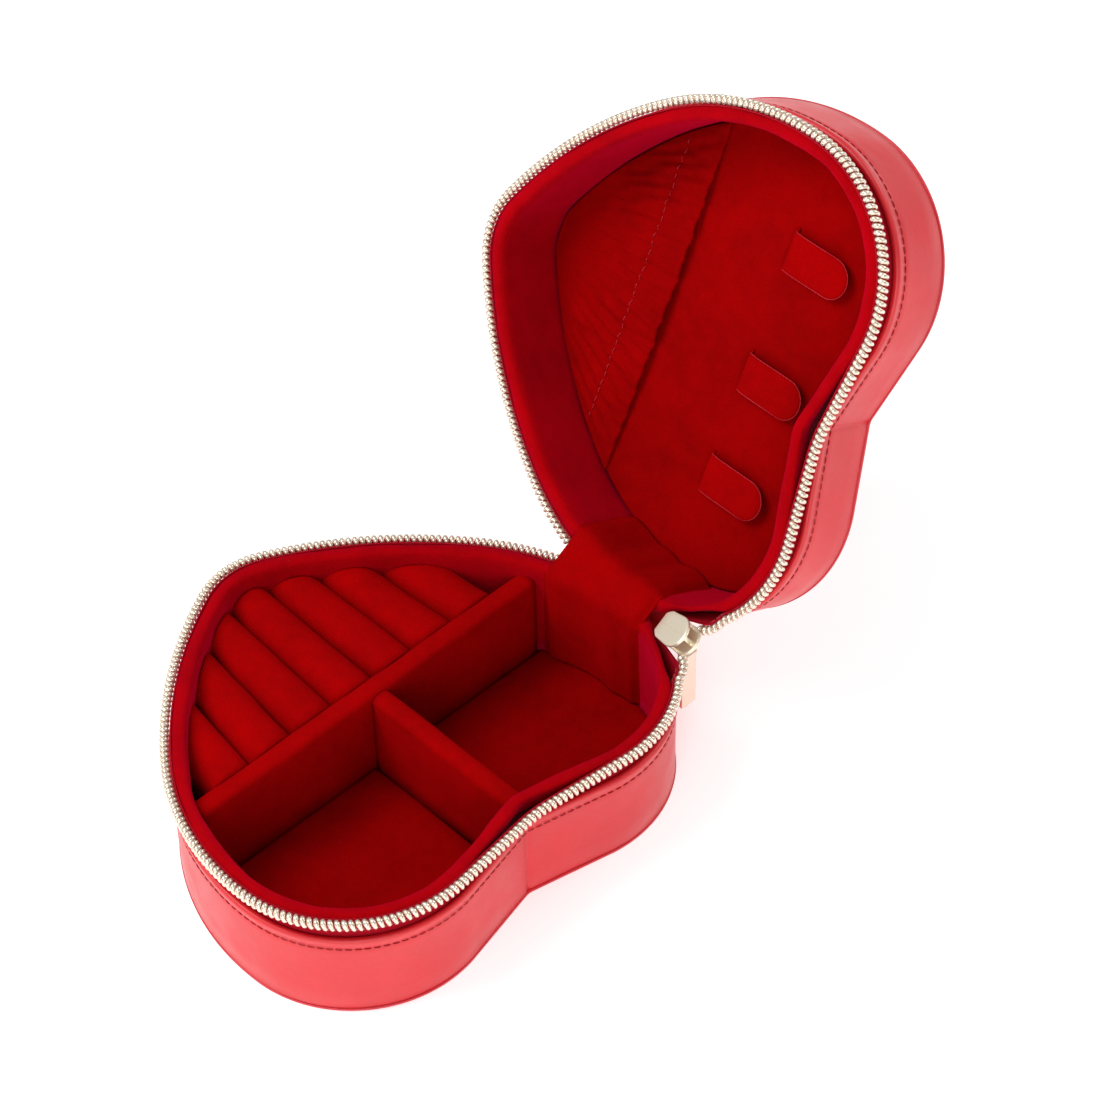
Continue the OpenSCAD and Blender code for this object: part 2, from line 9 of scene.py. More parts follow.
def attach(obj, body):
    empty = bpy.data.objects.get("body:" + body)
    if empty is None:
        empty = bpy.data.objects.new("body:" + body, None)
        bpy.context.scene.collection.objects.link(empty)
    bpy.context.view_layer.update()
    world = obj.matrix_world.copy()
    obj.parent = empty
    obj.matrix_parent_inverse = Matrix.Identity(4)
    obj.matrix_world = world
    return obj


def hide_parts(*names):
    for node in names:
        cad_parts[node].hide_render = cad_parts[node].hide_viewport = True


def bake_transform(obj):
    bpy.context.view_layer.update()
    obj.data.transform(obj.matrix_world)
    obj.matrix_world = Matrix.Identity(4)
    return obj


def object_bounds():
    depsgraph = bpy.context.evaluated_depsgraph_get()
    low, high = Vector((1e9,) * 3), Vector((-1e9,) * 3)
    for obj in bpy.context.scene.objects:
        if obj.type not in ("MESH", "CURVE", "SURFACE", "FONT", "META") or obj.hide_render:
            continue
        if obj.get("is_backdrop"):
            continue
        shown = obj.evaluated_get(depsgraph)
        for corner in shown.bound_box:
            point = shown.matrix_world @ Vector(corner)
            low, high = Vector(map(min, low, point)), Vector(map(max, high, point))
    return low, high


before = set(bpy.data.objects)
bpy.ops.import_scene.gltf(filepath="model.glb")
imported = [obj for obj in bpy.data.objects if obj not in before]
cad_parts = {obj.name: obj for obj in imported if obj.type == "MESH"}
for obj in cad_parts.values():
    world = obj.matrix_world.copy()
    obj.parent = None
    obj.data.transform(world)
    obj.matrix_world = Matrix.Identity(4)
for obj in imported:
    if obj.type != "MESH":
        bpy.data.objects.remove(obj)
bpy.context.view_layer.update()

MM = 0.001

# ---------------------------------------------------------------- sizes, millimetres, as in the CAD source
LOBE, LOBE_R = np.array([11.8, 27.9]), 32.2
FLANK_R, SIDE_R = 61.4, 110.6
TIP, TIP_R = np.array([-42.5, 0.0]), 19.5
LOBE_JOIN = math.radians(86)
WALL_NOTCH, ZIP_NOTCH = (13.0, 4.2), (6.5, 35.0)
BASE_H, LID_H, HINGE_Y = 31.8, 25.5, 58.5
LID_OPEN = math.radians(117)
RIM_DEPTH, LINING_DEPTH = 7.0, 0.9
LEATHER_T, BOARD_T = 1.0, 1.4
LEATHER_D, RIM_D = -0.8, -0.2
TAPE_D, TAPE_T = -1.85, 0.6
LINING_D, LINING_LIP_D, INNER_D, FLOOR_D, GUSSET_D = -4.0, -3.55, -4.9, -4.95, -6.05
PANEL_DEPTH = 20.0
FLOOR_PAD_Z, FLOOR_PAD_T = 2.6, 1.7
DIV_LO, DIV_HI, DIV_T, DIV_TOP = -16.9, -11.6, 5.3, 27.4
CROSS_LO, CROSS_HI, CROSS_TOP = -1.05, 4.25, 26.9
ROLL_PITCH, ROLL_MID_Y, ROLL_TOP, ROLL_Z, ROLL_DOME = 12.3, -0.8, 27.3, 13.0, 6.4
FAN_MID, FAN_RATE, WALL_Y = 2.6, 0.19, 46.5
STRAP_X, STRAP_Y, STRAP_L, STRAP_W, STRAP_T = 6.1, (-27.0, 3.7, 30.0), 17.6, 9.5, 1.1
STRAP_DEPTH = PANEL_DEPTH - 2.1
POCKET_X, HEM_W, POCKET_LIFT = -20.5, 9.6, 2.2
PART_GAP, COIL_H, COIL_T = 0.15, 2.6, 2.2
ZIP_START, ZIP_END, TAPE_END = math.radians(107.8), math.radians(53), math.radians(73)
SLIDER_C, SLIDER_YAW = np.array([28.0, 56.1]), math.radians(-24)
SLIDER_L, SLIDER_W = 10.4, 7.8
PULL_L, PULL_W, PULL_T = 16.5, 4.6, 1.0


# ---------------------------------------------------------------- outlines
def polar(angle):
    return np.array([math.cos(angle), math.sin(angle)])


def half_arcs(slope_deg, notch_r):
    """The arcs from notch to tip on the +Y side: centre, radius, first and last angle, which way is out."""
    slope = math.radians(slope_deg)
    notch_x = (notch_r + LOBE_R + LOBE[0] * math.cos(slope) - LOBE[1] * math.sin(slope)) / math.cos(slope)
    flank = LOBE - (FLANK_R - LOBE_R) * polar(LOBE_JOIN)
    gap = TIP - flank
    length = np.linalg.norm(gap)
    reach_f, reach_t = SIDE_R - FLANK_R, SIDE_R - TIP_R
    along = (reach_f**2 - reach_t**2 + length**2) / (2 * length)
    aside = math.sqrt(reach_f**2 - along**2)
    side = flank + gap * along / length + np.array([-gap[1], gap[0]]) * aside / length
    flank_join = math.atan2(flank[1] - side[1], flank[0] - side[0])
    side_join = math.atan2(TIP[1] - side[1], TIP[0] - side[0])
    return [
        (np.array([notch_x, 0.0]), notch_r, math.pi, math.pi - slope, -1),
        (LOBE, LOBE_R, -slope, LOBE_JOIN, 1),
        (flank, FLANK_R, LOBE_JOIN, flank_join, 1),
        (side, SIDE_R, flank_join, side_join, 1),
        (TIP, TIP_R, side_join, math.pi, 1),
    ]


FLANK_C = half_arcs(*WALL_NOTCH)[2][0]


def outline(slope_deg, notch_r):
    """Closed walk of the heart from the notch, points and outward unit normals, evenly spaced."""
    arcs = half_arcs(slope_deg, notch_r)
    points, normals = [], []
    for k, (c, r, a0, a1, out) in enumerate(arcs):
        n = (6, 120, 44, 56, 60)[k]
        for i in range(n):
            a = a0 + (a1 - a0) * i / n
            points.append(c + r * polar(a))
            normals.append(out * polar(a))
        if k == 0:
            start = c + r * polar(a1)
            c2, r2, b0 = arcs[1][0], arcs[1][1], arcs[1][2]
            end = c2 + r2 * polar(b0)
            for i in range(24):
                points.append(start + (end - start) * i / 24)
                normals.append(polar(b0))
    tip_c, tip_r = arcs[-1][0], arcs[-1][1]
    points.append(tip_c - np.array([tip_r, 0.0]))
    normals.append(np.array([-1.0, 0.0]))
    mirror = np.array([1.0, -1.0])
    points += [p * mirror for p in points[-2:0:-1]]
    normals += [p * mirror for p in normals[-2:0:-1]]
    return np.array(points), np.array(normals)


WALL_P, WALL_N = outline(*WALL_NOTCH)
ZIP_P, ZIP_N = outline(*ZIP_NOTCH)
COUNT = len(WALL_P)


def around(d, mix=0.0):
    """Points of the outline at offset d: the wall's at mix 0, the zip's at mix 1."""
    wall = WALL_P + d * WALL_N
    return wall if mix == 0 else wall * (1 - mix) + (ZIP_P + d * ZIP_N) * mix


def index_at(centre, angle, elsewhere):
    """The point of the +Y half that a centre sees at an angle, leaving out those where elsewhere is true."""
    half_walk = WALL_P[: COUNT // 2]
    seen = np.arctan2(half_walk[:, 1] - centre[1], half_walk[:, 0] - centre[0])
    return np.argmin(abs(seen - angle) + 9 * elsewhere(half_walk[:, 0]))


def zip_indices(end):
    """Indices of the walk from the zip's start at the hinge, round tip and notch, to an angle of the lobe."""
    first = index_at(FLANK_C, ZIP_START, lambda x: x > 5)
    last = index_at(LOBE, end, lambda x: x < 20)
    return np.arange(first, COUNT + last + 1) % COUNT


ZIP_RUN, TAPE_RUN = zip_indices(ZIP_END), zip_indices(TAPE_END)


def span(first_angle, last_angle):
    """Indices of the walk at the hinge, between angles in degrees about the flank's and the lobe's centre."""
    first = index_at(FLANK_C, math.radians(first_angle), lambda x: x > 10)
    last = index_at(LOBE, math.radians(last_angle), lambda x: x < 10)
    return np.arange(first, last - 1, -1)


# ---------------------------------------------------------------- the two halves
def base_half(p):
    """(x, y, depth from the parting plane) to the row frame, millimetres."""
    p = np.asarray(p, float)
    return np.stack([p[..., 0], p[..., 1], BASE_H - p[..., 2]], -1)


def lid_half(p):
    p = np.asarray(p, float)
    c, s = math.cos(-LID_OPEN), math.sin(-LID_OPEN)
    y, z = p[..., 1] - HINGE_Y, p[..., 2]
    return np.stack([p[..., 0], HINGE_Y + y * c - z * s, BASE_H + y * s + z * c], -1)


base_half.flip, lid_half.flip = True, False
HALVES = (("base", base_half, BASE_H), ("lid", lid_half, LID_H))


def as_is(p):
    return np.asarray(p, float)


as_is.flip = False


# ---------------------------------------------------------------- meshes
def new_object(name, verts_mm, faces, mat, uvs=None, smooth=True, sharp_deg=None):
    mesh = bpy.data.meshes.new(name)
    mesh.from_pydata((np.asarray(verts_mm, float) * MM).tolist(), [], [list(map(int, f)) for f in faces])
    if uvs is not None:
        layer = mesh.uv_layers.new(name="UVMap")
        loops = np.zeros(len(mesh.loops), np.int32)
        mesh.loops.foreach_get("vertex_index", loops)
        layer.data.foreach_set("uv", np.asarray(uvs, np.float32)[loops].ravel())
    mesh.polygons.foreach_set("use_smooth", [smooth] * len(mesh.polygons))
    mesh.materials.append(mat)
    mesh.update()
    obj = bpy.data.objects.new(name, mesh)
    bpy.context.scene.collection.objects.link(obj)
    if sharp_deg is not None:
        mesh.set_sharp_from_angle(angle=math.radians(sharp_deg))
    return obj


def grid_faces(nu, nv, wrap_u, wrap_v, flip):
    faces = []
    for i in range(nu if wrap_u else nu - 1):
        for j in range(nv if wrap_v else nv - 1):
            a, b = i * nv + j, i * nv + (j + 1) % nv
            c, d = ((i + 1) % nu) * nv + (j + 1) % nv, ((i + 1) % nu) * nv + j
            faces.append((a, b, c, d) if flip else (d, c, b, a))
    return faces


def grid_uvs(rows):
    """UVs in centimetres along and across a grid of points."""
    rows = np.asarray(rows, float)
    u = np.zeros(rows.shape[:2])
    v = np.zeros(rows.shape[:2])
    u[1:] = np.cumsum(np.linalg.norm(np.diff(rows, axis=0), axis=2), 0)
    v[:, 1:] = np.cumsum(np.linalg.norm(np.diff(rows, axis=1), axis=2), 1)
    u[:] = u.mean(1, keepdims=True)
    return np.stack([u, v], -1).reshape(-1, 2) * 0.1


def loft(name, half, rows, mat, wrap_u=True, wrap_v=True, sharp=None):
    """Solid or sheet through rows[i][j] = (x, y, depth)."""
    rows = np.asarray(rows, float)
    nu, nv = rows.shape[:2]
    world = half(rows)
    faces = grid_faces(nu, nv, wrap_u, wrap_v, half.flip)
    if not wrap_u and wrap_v:
        first, last = list(range(nv)), list(range((nu - 1) * nv, nu * nv))
        faces.append(first if not half.flip else first[::-1])
        faces.append(last[::-1] if not half.flip else last)
    return new_object(name, world.reshape(-1, 3), faces, mat, grid_uvs(world), sharp_deg=sharp)


def ring_rows(profile, index=None):
    """Rows for a profile [(d, depth)] or [(d, depth, mix)] carried round the outline."""
    index = np.arange(COUNT) if index is None else index
    cols = []
    for q in profile:
        p = around(q[0], q[2] if len(q) > 2 else 0.0)[index]
        cols.append(np.column_stack([p, np.full(len(p), q[1])]))
    return np.stack(cols, 1)


def rounded(points, radius, steps=4):
    """A closed profile with its corners rounded, each by its own or the same radius."""
    pts = [np.array(p[:2], float) for p in points]
    out = []
    n = len(pts)
    for i in range(n):
        p, a, b = pts[i], pts[i - 1], pts[(i + 1) % n]
        r = radius[i] if hasattr(radius, "__len__") else radius
        la, lb = np.linalg.norm(a - p), np.linalg.norm(b - p)
        r = min(r, la * 0.48, lb * 0.48)
        if r < 1e-6:
            out.append(tuple(p))
            continue
        s, e = p + (a - p) / la * r, p + (b - p) / lb * r
        for k in range(steps + 1):
            t = k / steps
            out.append(tuple((1 - t) ** 2 * s + 2 * t * (1 - t) * p + t * t * e))
    return out


def ripple(obj, amount_mm, size_mm, seed=0.0, stretch=(1, 1, 1), keep=None):
    """Moves the surface in and out by smooth noise; keep(co in mm) is a share from 0 to 1."""
    mesh = obj.data
    n = len(mesh.vertices)
    co = np.zeros(n * 3)
    no = np.zeros(n * 3)
    mesh.vertices.foreach_get("co", co)
    mesh.vertex_normals.foreach_get("vector", no)
    co, no = co.reshape(-1, 3), no.reshape(-1, 3)
    scale = np.array(stretch) / size_mm
    moved = np.empty(n)
    for i, p in enumerate(co / MM):
        q = p * scale + seed
        moved[i] = noise.noise(Vector(q))
    if keep is not None:
        moved = moved * keep(co / MM)
    co = co + no * (moved * amount_mm * MM)[:, None]
    mesh.vertices.foreach_set("co", co.ravel())
    mesh.update()
    return obj


def tube(path_mm, radius, sides=8, closed=False, up=None):
    """Vertices and faces of a tube along a path."""
    path = np.asarray(path_mm, float)
    n = len(path)
    ahead = np.roll(path, -1, 0) - path
    back = path - np.roll(path, 1, 0)
    tangent = ahead + back
    if not closed:
        tangent[0], tangent[-1] = ahead[0], back[-1]
    tangent /= np.linalg.norm(tangent, axis=1)[:, None] + 1e-12
    side = np.cross(tangent, np.array([0.0, 0.0, 1.0]) if up is None else up)
    short = np.linalg.norm(side, axis=1) < 1e-3
    side[short] = np.cross(tangent[short], np.array([1.0, 0.0, 0.0]))
    side /= np.linalg.norm(side, axis=1)[:, None]
    other = np.cross(side, tangent)
    r = np.broadcast_to(np.asarray(radius, float), (n,))
    a = np.arange(sides) * 2 * math.pi / sides
    ring = (
        path[:, None]
        + side[:, None] * (np.cos(a)[None, :, None] * r[:, None, None])
        + other[:, None] * (np.sin(a)[None, :, None] * r[:, None, None])
    )
    faces = grid_faces(n, sides, closed, True, False)
    if not closed:
        faces += [list(range(sides)), list(range((n - 1) * sides, n * sides))[::-1]]
    return ring.reshape(-1, 3), faces


def dome(steps, half_w, foot, rise, power):
    """The upper half of a superellipse, its two end points left out."""
    points = []
    for k in range(1, steps):
        a = math.pi * k / steps
        c, s = -math.cos(a), math.sin(a)
        points.append((np.sign(c) * abs(c) ** (2 / power) * half_w, foot + rise * s ** (2 / power)))
    return points


def rim_turn(steps, radius, low, high):
    """How far inward and how high a plate's rounded rim is, from its low face to its high one."""
    turn = [math.pi / 2 * k / steps for k in range(steps + 1)]
    foot = [(radius * (1 - math.sin(a)), low + radius * (1 - math.cos(a))) for a in turn]
    return foot + [(radius * (1 - math.cos(a)), high - radius * (1 - math.sin(a))) for a in turn]


def gather(parts):
    """Joins (vertices, faces) pairs."""
    verts, faces, base = [], [], 0
    for v, f in parts:
        verts.append(v)
        faces += [[i + base for i in face] for face in f]
        base += len(v)
    return np.concatenate(verts), faces


def fix_normals(obj):
    bm = bmesh.new()
    bm.from_mesh(obj.data)
    bmesh.ops.recalc_face_normals(bm, faces=bm.faces)
    bm.to_mesh(obj.data)
    bm.free()
    return obj


def part(name, shape, mat, **options):
    """A piece from (vertices, faces), with its normals put right."""
    return fix_normals(new_object(name, *shape, mat, **options))


def slice_off(bm, point, normal):
    """Cuts a bmesh by a plane and drops what lies on the normal's side."""
    everything = bm.verts[:] + bm.edges[:] + bm.faces[:]
    bmesh.ops.bisect_plane(bm, geom=everything, plane_co=point, plane_no=normal, clear_outer=True)


def recolour(node_name, mat):
    """Gives a CAD node that stays in view its material."""
    node_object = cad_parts[node_name]
    node_object.data.materials.clear()
    node_object.data.materials.append(mat)


def place(obj, body, slot, *nodes):
    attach(obj, body)
    if nodes:
        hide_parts(*nodes)
    return obj


# ---------------------------------------------------------------- materials
class Nodes:
    """A small helper that builds one material's node tree."""

    def __init__(self, name):
        self.mat = bpy.data.materials.new(name)
        self.mat.use_nodes = True
        self.tree = self.mat.node_tree
        self.bsdf = self.tree.nodes["Principled BSDF"]
        self.coords = self.tree.nodes.new("ShaderNodeTexCoord")

    def add(self, kind, **values):
        node = self.tree.nodes.new(kind)
        for key, value in values.items():
            if key.startswith("in_"):
                node.inputs[key[3:].replace("_", " ")].default_value = value
            else:
                setattr(node, key, value)
        return node

    def link(self, a, b):
        self.tree.links.new(a, b)

    def noise(self, scale, detail=3.0, rough=0.5, stretch=None, coords="Object"):
        node = self.add("ShaderNodeTexNoise", in_Scale=scale, in_Detail=detail, in_Roughness=rough)
        source = self.coords.outputs[coords]
        if stretch:
            mapping = self.add("ShaderNodeMapping", in_Scale=stretch)
            self.link(source, mapping.inputs["Vector"])
            source = mapping.outputs["Vector"]
        self.link(source, node.inputs["Vector"])
        return node.outputs["Fac"]

    def ramp(self, fac, stops):
        node = self.add("ShaderNodeValToRGB")
        ramp = node.color_ramp
        while len(ramp.elements) < len(stops):
            ramp.elements.new(0.5)
        for element, (pos, value) in zip(ramp.elements, stops):
            element.position = pos
            element.color = (*value, 1) if hasattr(value, "__len__") else (value, value, value, 1)
        self.link(fac, node.inputs["Fac"])
        return node.outputs["Color"]

    def mix(self, fac, a, b, blend="MIX"):
        node = self.add("ShaderNodeMix", data_type="RGBA", blend_type=blend)
        for value, socket in ((fac, node.inputs[0]), (a, node.inputs[6]), (b, node.inputs[7])):
            if isinstance(value, (int, float)):
                socket.default_value = value
            elif hasattr(value, "__len__"):
                socket.default_value = (*value, 1)
            else:
                self.link(value, socket)
        return node.outputs[2]

    def math(self, op, a, b=0.0):
        node = self.add("ShaderNodeMath", operation=op)
        for value, socket in ((a, node.inputs[0]), (b, node.inputs[1])):
            if isinstance(value, (int, float)):
                socket.default_value = value
            else:
                self.link(value, socket)
        return node.outputs[0]

    def bump(self, height, distance, strength=1.0, under=None):
        node = self.add("ShaderNodeBump", in_Strength=strength, in_Distance=distance)
        self.link(height, node.inputs["Height"])
        if under is not None:
            self.link(under, node.inputs["Normal"])
        return node.outputs["Normal"]

    def done(self, color=None, rough=None, normal=None, **fixed):
        if color is not None:
            self.link(color, self.bsdf.inputs["Base Color"])
        if rough is not None:
            self.link(rough, self.bsdf.inputs["Roughness"])
        if normal is not None:
            self.link(normal, self.bsdf.inputs["Normal"])
        for key, value in fixed.items():
            self.bsdf.inputs[key.replace("_", " ")].default_value = value
        return self.mat


def shade(tone, share):
    return tuple(min(1, c * share) for c in tone)


def leather(name, tone):
    m = Nodes(name)
    patches = m.noise(38, 4, 0.55)
    color = m.ramp(patches, [(0.3, shade(tone, 0.9)), (0.7, shade(tone, 1.06))])
    grain = m.add("ShaderNodeTexVoronoi", feature="SMOOTH_F1", in_Scale=1300, in_Smoothness=0.6)
    m.link(m.coords.outputs["Object"], grain.inputs["Vector"])
    pores = m.noise(2600, 2, 0.6)
    color = m.mix(m.ramp(grain.outputs["Distance"], [(0.55, 0.0), (0.9, 0.22)]), color, shade(tone, 0.8))
    rough = m.ramp(m.noise(90, 3, 0.6), [(0.3, 0.36), (0.7, 0.5)])
    normal = m.bump(grain.outputs["Distance"], 0.00006, 0.35)
    normal = m.bump(pores, 0.00004, 0.35, normal)
    normal = m.bump(m.noise(120, 3, 0.5), 0.0006, 0.25, normal)
    return m.done(color, rough, normal, Specular_IOR_Level=0.5, Coat_Weight=0.12, Coat_Roughness=0.35)


def velvet(name, tone, sheen=0.25, sheen_tone=(0.8, 0.002, 0.008)):
    m = Nodes(name)
    nap = m.noise(55, 4, 0.62)
    crush = m.noise(260, 3, 0.6)
    pile = m.noise(5200, 2, 0.7)
    color = m.ramp(nap, [(0.28, shade(tone, 0.74)), (0.72, shade(tone, 1.18))])
    color = m.mix(m.ramp(crush, [(0.35, 0.0), (0.75, 0.4)]), color, shade(tone, 1.32))
    color = m.mix(m.ramp(pile, [(0.35, 0.0), (0.8, 0.5)]), color, shade(tone, 0.66))
    normal = m.bump(pile, 0.00016, 0.55)
    normal = m.bump(crush, 0.0005, 0.3, normal)
    rough = m.ramp(nap, [(0.3, 0.86), (0.7, 0.98)])
    return m.done(color, rough, normal, Specular_IOR_Level=0.02, Sheen_Weight=sheen, Sheen_Roughness=0.5,
                  Sheen_Tint=(*sheen_tone, 1))


def woven(name, tone, across=34.0, along=46.0):
    """Zip tape: ribs along the tape and picks across it, from UVs in centimetres."""
    m = Nodes(name)
    split = m.add("ShaderNodeSeparateXYZ")
    m.link(m.coords.outputs["UV"], split.inputs[0])
    rib = m.math("SINE", m.math("MULTIPLY", split.outputs["Y"], across * 2 * math.pi))
    pick = m.math("SINE", m.math("MULTIPLY", split.outputs["X"], along * 2 * math.pi))
    weave = m.math("MULTIPLY", rib, pick)
    height = m.math("MULTIPLY_ADD", weave, 0.5)
    fac = m.ramp(m.math("ADD", m.math("MULTIPLY", weave, 0.5), 0.5), [(0.1, 0.0), (0.9, 1.0)])
    color = m.mix(fac, shade(tone, 0.55), shade(tone, 1.2))
    color = m.mix(m.ramp(m.noise(900, 3), [(0.3, 0.0), (0.8, 0.4)]), color, shade(tone, 0.8))
    normal = m.bump(height, 0.00012, 0.8)
    rough = m.ramp(m.noise(400, 2), [(0.3, 0.6), (0.7, 0.8)])
    return m.done(color, rough, normal, Specular_IOR_Level=0.12)


def metal(name, tone, rough_lo, rough_hi):
    m = Nodes(name)
    worn = m.noise(45, 2)
    color = m.ramp(worn, [(0.3, shade(tone, 0.96)), (0.7, tone)])
    rough = m.ramp(worn, [(0.25, rough_lo), (0.75, rough_hi)])
    return m.done(color, rough, None, Metallic=0.6)


def coil_material():
    m = Nodes("coil_champagne")
    color = m.ramp(m.noise(700, 3, 0.6), [(0.3, (0.74, 0.61, 0.48)), (0.7, (0.92, 0.82, 0.69))])
    rough = m.ramp(m.noise(1500, 2), [(0.3, 0.2), (0.7, 0.36)])
    normal = m.bump(m.noise(2200, 2), 0.00003, 0.4)
    return m.done(color, rough, normal, Metallic=0.75, Specular_IOR_Level=0.6,
                  Coat_Weight=0.3, Coat_Roughness=0.15)


def thread_material(name, tone):
    m = Nodes(name)
    twist = m.add("ShaderNodeTexWave", in_Scale=620, in_Distortion=1.5, in_Detail=1.0,
                  bands_direction="DIAGONAL")
    m.link(m.coords.outputs["Object"], twist.inputs["Vector"])
    color = m.mix(twist.outputs["Fac"], shade(tone, 0.6), tone)
    rough = m.ramp(m.noise(600, 2), [(0.3, 0.55), (0.7, 0.75)])
    return m.done(color, rough, m.bump(twist.outputs["Fac"], 0.00008, 0.7), Specular_IOR_Level=0.2)


def board_material(name, dark, light):
    m = Nodes(name)
    fibre = m.noise(700, 5, 0.7, (1, 1, 0.3))
    color = m.ramp(fibre, [(0.3, dark), (0.7, light)])
    return m.done(color, m.ramp(fibre, [(0.3, 0.8), (0.7, 0.95)]), m.bump(fibre, 0.0001, 0.5))


LEATHER = leather("leather_coral_red", (0.66, 0.013, 0.02))
LEATHER_EDGE = leather("leather_edge_paint", (0.56, 0.012, 0.028))
VELVET = velvet("velvet_red", (0.28, 0.0002, 0.0006), 0.12)
# The lining's copy of the velvet has a lighter tone than the floors', panel's and rolls' copies: painted
# light.
VELVET_PAINTED_LIGHT = velvet("velvet_red_lining_painted_light", (0.36, 0.0002, 0.0022), 0.5, (0.95, 0.004, 0.07))
VELVET_ROLL = velvet("velvet_red_rolls", (0.33, 0.0002, 0.0008), 0.16)
TAPE = woven("tape_crimson", (0.50, 0.002, 0.016))
COIL = coil_material()
THREAD_DARK = thread_material("thread_dark_red", (0.40, 0.006, 0.014))
THREAD_PINK = thread_material("thread_pink", (0.70, 0.10, 0.13))
THREAD_EDGE = thread_material("thread_cut_edge", (0.60, 0.02, 0.035))
GOLD = metal("pale_gold_plate", (1.0, 0.91, 0.71), 0.26, 0.34)
ROSE = metal("rose_gold_plate", (0.93, 0.74, 0.60), 0.26, 0.36)
SNAP = metal("snap_brass", (0.72, 0.56, 0.34), 0.28, 0.45)
# The boards get a dark red so that where they show through gaps by the slider and notch they read as painted
# shade.
BOARD_PAINTED_SHADE = board_material("dark_board_painted_shade", (0.10, 0.001, 0.004), (0.17, 0.002, 0.008))

for node_name in ("base_wall_board", "base_bottom_board", "lid_wall_board", "lid_top_board"):
    recolour(node_name, BOARD_PAINTED_SHADE)


# ---------------------------------------------------------------- leather walls, panels and their stitches
def wall_profile(h):
    """Outer leather with its rolled rim and a shallow hollow along the stitches."""
    inner = LEATHER_D - LEATHER_T
    return [
        (inner, h - LEATHER_T - 0.05), (LEATHER_D - 0.12, h - LEATHER_T - 0.05),
        (LEATHER_D, h - LEATHER_T - 0.35), (LEATHER_D + 0.02, h * 0.78), (LEATHER_D + 0.02, h * 0.6),
        (LEATHER_D + 0.04, RIM_DEPTH + 5.4), (LEATHER_D + 0.12, RIM_DEPTH + 4.3),
        (LEATHER_D + 0.02, RIM_DEPTH + 3.75), (LEATHER_D - 0.06, RIM_DEPTH + 3.45),
        (LEATHER_D + 0.04, RIM_DEPTH + 3.1), (LEATHER_D + 0.22, RIM_DEPTH + 2.5),
        (RIM_D - 0.2, RIM_DEPTH + 1.7), (RIM_D - 0.02, RIM_DEPTH + 1.15), (RIM_D, RIM_DEPTH + 0.75),
        (RIM_D - 0.12, RIM_DEPTH + 0.3), (RIM_D - 0.4, RIM_DEPTH + 0.05), (RIM_D - 0.8, RIM_DEPTH),
        (inner + 0.25, RIM_DEPTH + 0.12), (inner, RIM_DEPTH + 0.4), (inner, RIM_DEPTH + 3.0),
    ]


def seam_pull(rows):
    """Draws the leather in at the notch's seam, where the wall's two ends meet."""
    rows = rows.copy()
    dist = np.linalg.norm(WALL_P - WALL_P[0], axis=1)
    crease = np.exp(-((dist / 0.55) ** 2)) * 0.28
    rows[:, :, 0] -= (crease * WALL_N[:, 0])[:, None]
    return rows


def distances(points):
    """How far along a line each of its points is."""
    return np.concatenate([[0], np.cumsum(np.linalg.norm(np.diff(points, axis=0), axis=1))])


def sample(line, far, at):
    """The line at distances at, where far are the distances of its own points."""
    return np.stack([np.interp(at, far, line[:, k]) for k in range(line.shape[1])], 1)


def walk_at(points, normals, s, closed=True):
    """Points and normals at distances s along a walk, and the walk's length."""
    pts = np.vstack([points, points[:1]]) if closed else points
    nrm = np.vstack([normals, normals[:1]]) if closed else normals
    far = distances(pts)
    n = sample(nrm, far, s)
    return sample(pts, far, s), n / np.linalg.norm(n, axis=1)[:, None], far[-1]


def stitch_row(name, half, d, depth, pitch, length, radius, mat, mix=0.0, index=None, tilt=0.0, bend=as_is):
    """A row of thread stitches, each a short arched tube lying along the walk."""
    index = np.arange(COUNT) if index is None else index
    closed = len(index) == COUNT
    pts = around(d, mix)[index]
    nrm = WALL_N[index] * (1 - mix) + ZIP_N[index] * mix
    total = walk_at(pts, nrm, np.array([0.0]), closed)[-1]
    count = int(total / pitch)
    rng = np.random.default_rng(7)
    parts = []
    for k in range(count):
        s0 = (k + 0.5) * total / count + rng.uniform(-0.04, 0.04)
        t = np.linspace(-0.5, 0.5, 5)
        p, nor, _ = walk_at(pts, nrm, s0 + t * length, closed)
        lift = (0.25 - t * t) * 4 * radius * 1.1
        line = np.column_stack([p + nor * lift[:, None], depth + t * tilt * length])
        parts.append(tube(half(bend(line)), radius * np.array([0.55, 1, 1.05, 1, 0.55]), 6))
    return part(name, gather(parts), mat)


def panel_disc(name, half, mat, d_edge, z0, z1, edge_r, rings=7):
    """A heart-shaped plate from z0 (inside) to z1 (outside) with a rounded edge."""
    centre = np.array([-6.0, 0.0])
    rim = [(d_edge - inward, z) for inward, z in rim_turn(4, edge_r, z0, z1)]
    cols = [np.column_stack([around(d), np.full(COUNT, z)]) for d, z in rim]
    inner_top, inner_low = around(rim[0][0]), around(rim[-1][0])
    front, back = [], []
    for k in range(rings, 0, -1):
        share = (k / (rings + 1)) ** 0.8
        front.append(np.column_stack([centre + (inner_top - centre) * share, np.full(COUNT, z0)]))
        back.append(np.column_stack([centre + (inner_low - centre) * share, np.full(COUNT, z1)]))
    stack = np.stack(front[::-1] + cols + back, 1)
    nv = stack.shape[1]
    verts = stack.reshape(-1, 3)
    verts = np.vstack([verts, [[*centre, z0]], [[*centre, z1]]])
    faces = grid_faces(COUNT, nv, True, False, half.flip)
    a, b = COUNT * nv, COUNT * nv + 1
    for i in range(COUNT):
        j = (i + 1) % COUNT
        first, last = (a, j * nv, i * nv), (b, i * nv + nv - 1, j * nv + nv - 1)
        faces.append(first if not half.flip else first[::-1])
        faces.append(last if not half.flip else last[::-1])
    world = half(verts)
    return fix_normals(new_object(name, world, faces, mat, verts[:, :2] * 0.1))


